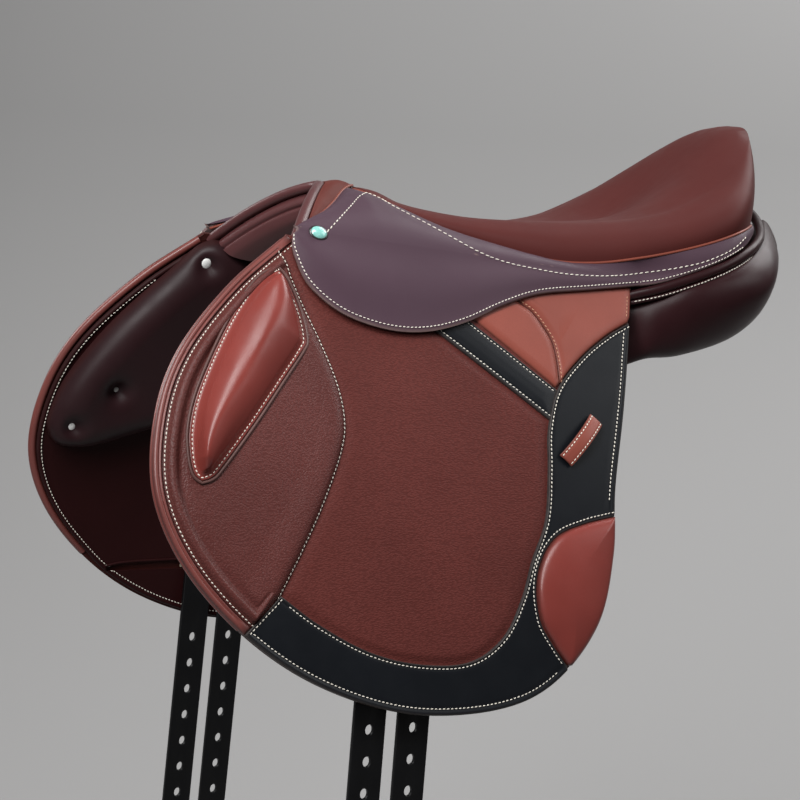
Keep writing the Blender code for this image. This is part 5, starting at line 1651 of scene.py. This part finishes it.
@dataclass
class Pommel:
    """The pommel cover, its piping, and the rolled binding and padded facing of the arch."""

    dresser: Dresser
    apex: tuple[float, float] = (-0.1345, 0.111)
    half_width: float = 0.085
    drop: float = 0.046
    sweep: float = 0.68
    power: float = 1.6

    def arch(self, across: Array, back: float | Array, sink: float | Array) -> Array:
        """Points on the arch.

        Args:
            across: how far across each point is.
            back: how far back from the front edge.
            sink: how far below it.

        Returns:
            The points in the saddle's frame.
        """
        width = np.abs(across)
        ahead = self.apex[0] - self.sweep * (np.hypot(width, 0.006) - 0.006)
        height = self.apex[1] - self.drop * (width / self.half_width) ** self.power
        slope = self.drop * self.power * (width / self.half_width) ** (self.power - 1) / self.half_width
        lean = np.arctan(slope)
        aside = across - np.sign(across) * sink * np.sin(lean)
        return np.stack([ahead + back, aside, height - sink * np.cos(lean)], axis=-1)

    def build(self) -> None:
        """Build the four pieces."""
        finishes = self.dresser.finishes
        piping = smooth(POMMEL_PIPING, 10)
        last = len(piping) - 1
        shares = np.arange(2, last + 1) / last
        front = self.arch(-self.half_width * (1 - shares), 0.006, 0.0006)
        rear = piping[2:]
        rows = []
        for k in np.linspace(0, 1, 9):
            row = front + (rear - front) * k
            row[:, 2] += 0.0028 * math.sin(math.pi * k) * shares
            rows.append(row)
        near = np.stack(rows, axis=1)
        whole = np.concatenate([near, (near * MIRROR)[-2::-1]], axis=0)
        cover = Bench.sheet("pommel_leather", whole, 0.0018, (0, 0, 1))
        Bench.finish(cover, finishes["pommel"], 70)
        self.dresser.wear(cover, "seat_and_tree", "pommel", "pommel_cover")
        loop = np.vstack([piping, (piping * MIRROR)[-2::-1]])
        cord = Bench.tube("pommel_cord", loop, 0.0011, finishes["piping"])
        self.dresser.wear(cord, "seat_and_tree", "piping", "pommel_piping")
        across = np.linspace(-0.0858, 0.0858, 97)
        turns = np.linspace(0, 2 * math.pi, 19)[:-1]
        loops = [self.arch(across, 0.0012 + 0.0052 * math.cos(t), 0.004 + 0.004 * math.sin(t)) for t in turns]
        bound = Bench.finish(Bench.closed("arch_binding", np.stack(loops, axis=1)), finishes["facing"], 60)
        self.dresser.wear(bound, "seat_and_tree", "facing", "facing_binding")
        across = np.linspace(-0.082, 0.082, 97)
        profile = smooth(FACING_PROFILE, 4)
        points = np.stack([self.arch(across, back, down) for back, down in profile], axis=1)
        facing = Bench.sheet("arch_facing", points, 0.0022, (-1, 0, -1))
        Bench.finish(facing, finishes["facing"], 70)
        self.dresser.wear(facing, "seat_and_tree", "facing", "pommel_facing", fill=0.5)


@dataclass
class Skirt:
    """The near skirt: its sewn band, the lobe that lifts, the bend between them and the stud."""

    dresser: Dresser
    white: Thread
    long: Thread
    lens: Lens
    leather: float = 0.0032
    lift_off: float = 0.0046
    swell: float = 0.003
    count: int = 170
    line_out: float = 0.0091

    def face(self) -> tuple[Array, int, int]:
        """The skirt's whole outer face.

        Returns:
            Stations by rows by three, the first station of the tail, and the row of the lift line.
        """
        welt = smooth([point for _, _, point in SEAT_STATIONS], 2)
        top = np.vstack([smooth(POMMEL_PIPING, 3)[:-4], [p for p in welt[2:] if p[0] < 0.222]])
        edge = FORM.place(smooth(SKIRT_EDGE, 6), self.lift_off + self.leather)
        tail_edge = smooth(np.vstack([edge[-7], edge[-1], np.array(SKIRT_TAIL)]), 6)[6:]
        low = np.vstack([edge, tail_edge[1:]])
        shares = np.linspace(0, 1, self.count + 1)
        heads, feet = along_run(top, shares), along_run(low, shares)
        tail = int(np.argmax(feet[:, 0] > 0.093))
        along = np.clip(0.5 * (heads[:, 0] + feet[:, 0]), -0.1945, 0.093)
        place = np.stack([along, lift_down(along)], axis=1)
        line = FORM.place(place, self.line_out)
        above = FORM.place(place - (0, 0.01), self.line_out) - line
        fade = eased(np.arange(self.count + 1), tail, tail + 16)[:, None]
        above = above * (1 - fade) + np.array((0.0, 0.0004, 0.01)) * fade
        above /= np.linalg.norm(above, axis=1)[:, None]
        reach = np.linalg.norm(line[tail - 1] - feet[tail - 1])
        height = reach * (1 - 0.75 * np.linspace(0, 1, self.count + 1 - tail))
        line[tail:] = feet[tail:] + above[tail:] * height[:, None]
        rise = np.linalg.norm(heads - line, axis=1)[:, None]
        bend = line + above * 0.45 * rise
        ease = 0.0024 + 0.0046 * np.maximum(0, 1 - 6 * shares)[:, None]
        heads = heads + (bend - heads) / np.linalg.norm(bend - heads, axis=1)[:, None] * (ease - 0.0014)
        k = np.linspace(0, 1, 22)[None, :, None]
        band = heads[:, None] * (1 - k) ** 2 + bend[:, None] * 2 * k * (1 - k) + line[:, None] * k * k
        k = np.r_[np.linspace(0, 1, 26)[:-1] ** 0.9, 1.0][None, :, None]
        lobe = line[:, None] + (feet - line)[:, None] * k
        normal = np.cross(np.gradient(line, axis=0), -above)
        normal /= np.linalg.norm(normal, axis=1)[:, None]
        if normal[10][1] > 0:
            normal = -normal
        far = np.linalg.norm(feet - line, axis=1)
        swollen = (self.swell * np.minimum(1, far / 0.05))[:, None, None] * np.sin(np.pi * k) ** 2
        lobe = lobe + swollen * normal[:, None]
        return np.concatenate([band, lobe[:, 1:]], axis=1), tail, band.shape[1] - 1

    def build(self) -> None:
        """Build the band and the lobe, their rows of stitches, the bend and the stud."""
        face, tail, fold = self.face()
        normal = np.cross(np.gradient(face, axis=0), np.gradient(face, axis=1))
        normal /= np.maximum(np.linalg.norm(normal, axis=2), 1e-9)[..., None]
        if normal[20, 30, 1] > 0:
            normal = -normal
        edge = np.linalg.norm(face - face[:, -1:], axis=2)
        edge = np.minimum(edge, np.linalg.norm(face - face[:1], axis=2))
        outer = face - normal * (0.0012 * (1 - rounded(edge, 0.0014)))[..., None]
        skived = 0.0006 * (1 - rounded(edge, 0.001)) + 0.001 * eased(edge, 0.004, 0.02)
        inner = face - normal * (self.leather - skived)[..., None]
        mark = bead(edge, 0, 0.0012)
        rings = np.concatenate([outer, inner[:, ::-1]], axis=1)
        marks = np.concatenate([mark, np.ones_like(mark)], axis=1)
        rows = face.shape[1]
        fixed = rings.copy()
        fixed = np.insert(fixed, tail, fixed[tail], axis=0)
        fixed[: tail + 1, fold:rows] = outer[: tail + 1, fold : fold + 1]
        fixed[: tail + 1, rows : 2 * rows - fold] = inner[: tail + 1, fold : fold + 1]
        band = Bench.closed("skirt_band_leather_near", fixed, np.insert(marks, tail, marks[tail], axis=0))
        self.dresser.pair(band, "seat_and_tree", "skirt", "skirt_band", finish="skirt", angle=50)
        flying = np.s_[: tail + 1, fold : 2 * rows - fold]
        lobe = Bench.closed("skirt_leather_near", rings[flying], marks[flying])
        self.dresser.pair(lobe, "skirt", "skirt", "skirt", finish="skirt", angle=50)
        core = (outer + inner)[1 : tail - 1, fold] / 2
        bend = Bench.tube("skirt_bend_near", core, 0.0008, self.dresser.finishes["skirt"])
        self.dresser.pair(bend, "seat_and_tree", "skirt")
        lifting, staying = Bench.ground(lobe), Bench.ground(band)
        way = face[:, -1] - face[:, fold]
        reach = np.linalg.norm(way, axis=1)[:, None]
        row = face[:, -1] - way / reach * np.minimum(0.0032, 0.45 * reach)
        last = int(np.argmax(row[:, 0] > 0.186))
        sewn = self.white.sew("skirt_edge_row_near", row[2 : tail + 1], lifting)
        self.dresser.pair(sewn, "skirt", "skirt")
        sewn = self.white.sew("skirt_tail_row_near", row[tail + 1 : last], staying)
        self.dresser.pair(sewn, "seat_and_tree", "skirt")
        self.build_rows(staying, lifting)
        self.build_stud(Bench.ground(band, lobe))

    def build_rows(self, staying: BVHTree, lifting: BVHTree) -> None:
        """The row from the stud up round the pommel and along under the seat, to the tail.

        Args:
            staying: the band's faces.
            lifting: the lobe's faces.
        """
        runs: list[tuple[bool, list[Array]]] = []
        for across, down in smooth(UPPER_ROW, 6):
            eye, way = self.lens.ray(across, down)
            above, below = staying.ray_cast(eye, way), lifting.ray_cast(eye, way)
            stays = below[0] is None or (above[0] is not None and above[3] < below[3])
            hit = above[0] if stays else below[0]
            if hit is None:
                continue
            if not runs or runs[-1][0] != stays:
                runs.append((stays, []))
            runs[-1][1].append(np.array(hit))
        for number, (stays, hits) in enumerate(runs):
            if len(hits) > 2:
                made = self.long.sew(f"skirt_upper_row_{number}_near", np.array(hits), staying if stays else lifting)
                self.dresser.pair(made, "seat_and_tree" if stays else "skirt", "skirt")

    def build_stud(self, ground: BVHTree) -> None:
        """The plain oval stud: teal enamel in a dark metal rim.

        Args:
            ground: the skirt's faces.
        """
        eye, way = self.lens.ray(*STUD_AT)
        spot, normal = ground.ray_cast(eye, way)[:2]
        normal = -normal if normal.dot(way) > 0 else normal
        turn = normal.to_track_quat("Z", "Y").to_matrix().to_4x4()
        matrix = Matrix.Translation(spot) @ turn @ Matrix.Rotation(math.radians(-14), 4, "Z")
        for finish, radius, height in (("rim", 0.0076, 0.002), ("enamel", 0.0066, 0.003)):
            item = Bench.ball(
                f"stud_{finish}_near",
                radius,
                (36, 18),
                lambda: bpy.ops.mesh.bisect(plane_co=(0, 0, 0), plane_no=(0, 0, 1), use_fill=True, clear_inner=True),
                lambda: bpy.ops.mesh.select_all(action="SELECT"),
                lambda: bpy.ops.transform.resize(value=(1, 0.8, height / radius), center_override=(0, 0, 0)),
            )
            item.data.transform(matrix)
            nodes = ("skirt_stud",) if finish == "enamel" else ()
            self.dresser.pair(item, "seat_and_tree", "stud", *nodes, finish=finish, angle=60)


@dataclass
class Panel:
    """The near panel and the gusset roll along its rear top."""

    dresser: Dresser
    white: Thread

    def build(self) -> None:
        """Build the panel, the gusset with its lip, and the row between them."""
        rings = []
        for x, *corners in PANEL_STATIONS:
            top_in, low_in, low_out, side, top_out = (np.array(corner) for corner in corners)
            across = low_out - low_in
            down = np.array([-across[1], across[0]])
            down = down / np.linalg.norm(down) * (-1 if down[1] > 0 else 1)
            loop = [
                top_in,
                (top_in + low_in) / 2 + (0.0015, 0),
                low_in,
                (low_in + low_out) / 2 + down * 0.06 * np.linalg.norm(across),
                low_out,
                side,
                top_out,
                (top_out + top_in) / 2,
            ]
            around = smooth(np.array(loop[-2:] + loop + loop[:3]), 8)[16:80]
            rings.append(np.c_[np.full(len(around), x), around])
        body = smooth(np.array(rings).reshape(len(rings), -1), 6).reshape(-1, len(rings[0]), 3)
        front, rear = [], []
        for ring, made, push in ((body[0], front, -1), (body[-1], rear, 1)):
            middle = ring.mean(axis=0)
            for turn in np.radians((22, 42, 60, 76)):
                grown = middle + (ring - middle) * math.cos(turn)
                grown[:, 0] += push * 0.009 * math.sin(turn)
                made.append(grown)
        whole = np.concatenate([np.array(front[::-1]), body, np.array(rear)])
        panel = Bench.closed("panel_leather_near", whole)
        Stuffing(cap=0.003, pressure=3.0).press(panel, np.zeros(len(panel.data.vertices)))
        self.dresser.pair(panel, "seat_and_tree", "panel", "panel", finish="panel", angle=80, fill=0.8)
        line = smooth(GUSSET_LINE, 12)
        outward = np.cross(np.gradient(line, axis=0), (0, 0, 1))
        outward /= np.linalg.norm(outward, axis=1)[:, None]
        if outward[0][1] > 0:
            outward = -outward
        lift = np.array([0, 0, 1.0])
        end = eased(np.linspace(0, 1, len(line)), 0.62, 1.0)[:, None]
        material = self.dresser.finishes["panel"]
        roll = Bench.tube("gusset_roll_near", line + lift * 0.0016, 0.004, material, sides=6)
        self.dresser.pair(roll, "seat_and_tree", "panel", "rear_gusset", fill=0.8)
        below = line - lift * 0.0045 * (1 - end) + outward * (0.0008 + 0.005 * end)
        lip = Bench.tube("gusset_lip_near", below, 0.0018, material, sides=4)
        self.dresser.pair(lip, "seat_and_tree", "panel")
        row = (line - lift * 0.0032 * (1 - end) + outward * (0.005 + 0.001 * end))[12:]
        sewn = self.white.sew("gusset_row_near", row, Bench.ground(roll, lip))
        self.dresser.pair(sewn, "seat_and_tree", "panel")


@dataclass
class Hidden:
    """The tree and the ironwork, which show only from below or with a flap lifted."""

    dresser: Dresser

    def build(self) -> None:
        """Dress the tree's wood, and smooth the forged pieces."""
        for name, finish in (("tree_rails", "wood"), ("tree_head", "wood"), ("gullet_plate", "steel")):
            self.dresser.node(name, finish, both=False)
        self.dresser.node("billet_web", "web")
        self.dresser.node("dee_chape", "skirt")
        for name, body in (("stirrup_bar", "seat_and_tree"), ("bar_catch", "bar_catch"), ("dee_ring", "dee_ring")):
            self.forge(name, body)

    def forge(self, name: str, body: str) -> None:
        """A forged piece from the frame's node, with its edges rounded unless it is the dee ring.

        Args:
            name: the node, without its side.
            body: its body, without its side.
        """
        for side in Side:
            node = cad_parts[f"{name}_{side.value}"]
            item = Bench.add(f"{name}_forged_{side.value}", node.data.copy())
            Bench.edit(
                item,
                lambda: bpy.ops.mesh.remove_doubles(threshold=1e-6),
                lambda: bpy.ops.mesh.dissolve_limited(angle_limit=math.radians(4)),
            )
            if name != "dee_ring":
                sharp = math.radians(50)
                Bench.apply(item, "BEVEL", width=0.0007, segments=3, limit_method="ANGLE", angle_limit=sharp)
            Bench.finish(item, self.dresser.finishes["steel"], 50)
            self.dresser.wear(item, self.dresser.body_on(side, body), "steel", node.name)


class Studio:
    """A pale seamless sweep and soft lamps."""

    def build(self) -> None:
        """Build the sweep, the lamps and the world."""
        reach, low, high = 5.0, -0.9, 3.2
        profile = [(-1.9, low), (1.0, low)]
        profile += [(1.0 + 1.2 * math.sin(t), low + 1.2 - 1.2 * math.cos(t)) for t in np.linspace(0.1, math.pi / 2, 14)]
        profile.append((2.2, high))
        turn = np.array(Matrix.Rotation(math.radians(Lens.azimuth), 3, "Z"))
        rows = np.array([[(side, ahead, up) for side in (-reach, 0, reach)] for ahead, up in profile])
        sweep = Bench.grid("sweep", rows @ turn.T)
        nodes = Nodes("sweep_paper")
        paper = nodes.mix(nodes.noise(1.2, 2), (0.385, 0.38, 0.378), (0.395, 0.39, 0.388))
        nodes.join(nodes.mix(self.seen(nodes.tree), (0.06, 0.06, 0.06), paper), nodes.shader.inputs["Base Color"])
        nodes.shader.inputs["Roughness"].default_value = 0.9
        nodes.shader.inputs["Specular IOR Level"].default_value = 0.1
        Bench.finish(sweep, nodes.material, 80)
        for name, values in LAMPS.items():
            self.lamp(name, *values)
        world = bpy.data.worlds.new("studio")
        world.use_nodes = True
        tree = world.node_tree
        tree.nodes["Background"].inputs[0].default_value = (1, 1, 1, 1)
        strength = tree.nodes.new("ShaderNodeMapRange")
        strength.inputs["To Min"].default_value, strength.inputs["To Max"].default_value = 0.04, 0.2
        tree.links.new(self.seen(tree), strength.inputs["Value"])
        tree.links.new(strength.outputs["Result"], tree.nodes["Background"].inputs[1])
        bpy.context.scene.world = world

    @staticmethod
    def seen(tree: bpy.types.NodeTree) -> Socket:
        """What tells the background itself from the light that it gives.

        Args:
            tree: the node tree that asks.

        Returns:
            1 where a ray shows the background, and 0 where it only carries its light.
        """
        path = tree.nodes.new("ShaderNodeLightPath")
        seen = path.outputs["Is Camera Ray"]
        for kind in ("Is Glossy Ray", "Is Transmission Ray"):
            either = tree.nodes.new("ShaderNodeMath")
            either.operation = "MAXIMUM"
            tree.links.new(seen, either.inputs[0])
            tree.links.new(path.outputs[kind], either.inputs[1])
            seen = either.outputs[0]
        return seen

    @staticmethod
    def lamp(name: str, place: Color, size: tuple[float, float], power: float, target: Color) -> None:
        """A soft lamp.

        Args:
            name: its name.
            place: where it is.
            size: its width and height.
            power: its power in watts.
            target: what it looks at.
        """
        data = bpy.data.lights.new(name, "AREA")
        data.shape = "RECTANGLE"
        data.size, data.size_y = size
        data.energy = power
        item = Bench.add(name, data)
        item.location = place
        item.rotation_mode = "QUATERNION"
        item.rotation_quaternion = (Vector(target) - Vector(place)).to_track_quat("-Z", "Y")


def make_finishes() -> dict[str, Material]:
    """All finishes, by the saddler's name for each.

    Returns:
        The materials.
    """
    flap_grain = {"grain": Grain.PEBBLED, "grain_scale": 950.0, "grain_depth": 0.00021, "stretch": (0.42, 1.0, 1.0)}
    dark = (0.05, 0.014, 0.012)
    linen, beech = {"stretch": (1.0, 0.2, 1.0), "bump": 0.0003}, {"stretch": (0.15, 1.0, 3.0)}
    leathers = {
        "seat": Leather("seat_calf", (0.084, 0.021, 0.019), (0.06, 0.02, 0.02), depth=0.9, rough=0.5, gloss=0.07),
        "pommel": Leather("pommel_calf", (0.115, 0.029, 0.023), (0.08, 0.02, 0.02), rough=0.55, gloss=0.06),
        "piping": Leather("piping_calf", (0.22, 0.055, 0.035), (0.3, 0.08, 0.05), rough=0.42),
        "facing": Leather("facing_calf", (0.09, 0.03, 0.031), (0.05, 0.02, 0.02), rough=0.36, gloss=0.35),
        "skirt": Leather("skirt_calf", (0.068, 0.038, 0.053), (0.17, 0.115, 0.108), depth=0.92, rough=0.48, gloss=0.15),
        "panel": Leather("panel_calf", (0.024, 0.0065, 0.008), (0.03, 0.01, 0.01), rough=0.38, gloss=0.16),
        "flap": Leather("flap_grain", (0.122, 0.03, 0.025), dark, rough=0.5, gloss=0.12, **flap_grain),
        "knee": Leather("knee_grain", (0.108, 0.028, 0.024), dark, rough=0.44, gloss=0.24, grain=Grain.PEBBLED),
        # The roll's colour is lighter than its leather's own brown: a painted highlight along the front roll and the
        # turned edge.
        "roll": Leather("roll_calf_painted_highlight", (0.185, 0.05, 0.042), (0.07, 0.022, 0.02), rough=0.34, gloss=0.42),
        "chestnut": Leather("chestnut_calf", (0.215, 0.038, 0.03), (0.07, 0.02, 0.016), rough=0.32, gloss=0.38),
        "side": Leather("side_calf", (0.27, 0.068, 0.048), (0.1, 0.03, 0.02), rough=0.42, gloss=0.24),
        "edging": Leather("edging_calf", (0.105, 0.05, 0.044), (0.06, 0.02, 0.02), rough=0.4),
        "black": Leather("black_calf", (0.005, 0.0062, 0.0086), (0.045, 0.038, 0.036), rough=0.42, gloss=0.2),
        "billet": Leather("billet_strap", (0.004, 0.004, 0.0045), (0.03, 0.025, 0.025), rough=0.42, gloss=0.16),
        "lining": Leather("lining_calf", (0.022, 0.005, 0.0052), (0.03, 0.012, 0.012), rough=0.5, gloss=0.08),
        "pad": Leather("pad_calf", (0.024, 0.0095, 0.011), (0.03, 0.01, 0.01), rough=0.4, gloss=0.16),
    }
    solids = {
        "thread": Solid("waxed_thread", (0.84, 0.8, 0.72), (0.7, 0.64, 0.54), rough=0.6, scale=1500),
        "tan_thread": Solid("tan_thread", (0.6, 0.32, 0.2), (0.48, 0.24, 0.15), rough=0.6, scale=1500),
        "felt": Solid("white_felt", (0.86, 0.86, 0.84), (0.7, 0.7, 0.68), rough=0.8, scale=900, bump=0.0002),
        "web": Solid("linen_web", (0.52, 0.45, 0.34), (0.38, 0.32, 0.22), rough=0.85, scale=700, **linen),
        "wood": Solid("laminated_beech", (0.46, 0.29, 0.15), (0.32, 0.18, 0.085), rough=0.5, scale=60, **beech),
        "steel": Solid("forged_steel", (0.56, 0.56, 0.57), (0.42, 0.42, 0.43), rough=0.3, metal=1.0, scale=300),
        "rim": Solid("stud_rim", (0.06, 0.06, 0.06), (0.04, 0.04, 0.04), rough=0.3, metal=0.6, scale=300),
        "enamel": Solid("teal_enamel", (0.2, 0.52, 0.47), (0.28, 0.62, 0.56), rough=0.22, scale=500, coat=0.6),
    }
    return {name: finish.make() for name, finish in {**leathers, **solids}.items()}


def main() -> None:
    """Dress the saddle piece by piece, then set up the camera and the studio."""
    logging.basicConfig(level=logging.INFO, format="%(name)s: %(message)s")
    lens = Lens()
    lens.set_up()
    finishes = make_finishes()
    dresser = Dresser(finishes)
    white, tan = Thread(finishes["thread"]), Thread(finishes["tan_thread"], radius=0.0004)
    long = Thread(finishes["thread"], pitch=0.0046, length=0.0033, radius=0.0005)
    Flap(dresser, white, tan).build()
    FlapInside(dresser, white).build()
    Seat(dresser).build()
    Pommel(dresser).build()
    Skirt(dresser, white, long, lens).build()
    Panel(dresser, white).build()
    Hidden(dresser).build()
    Studio().build()
    bpy.context.scene.view_settings.view_transform = "Standard"


if __name__ == "__main__":
    main()
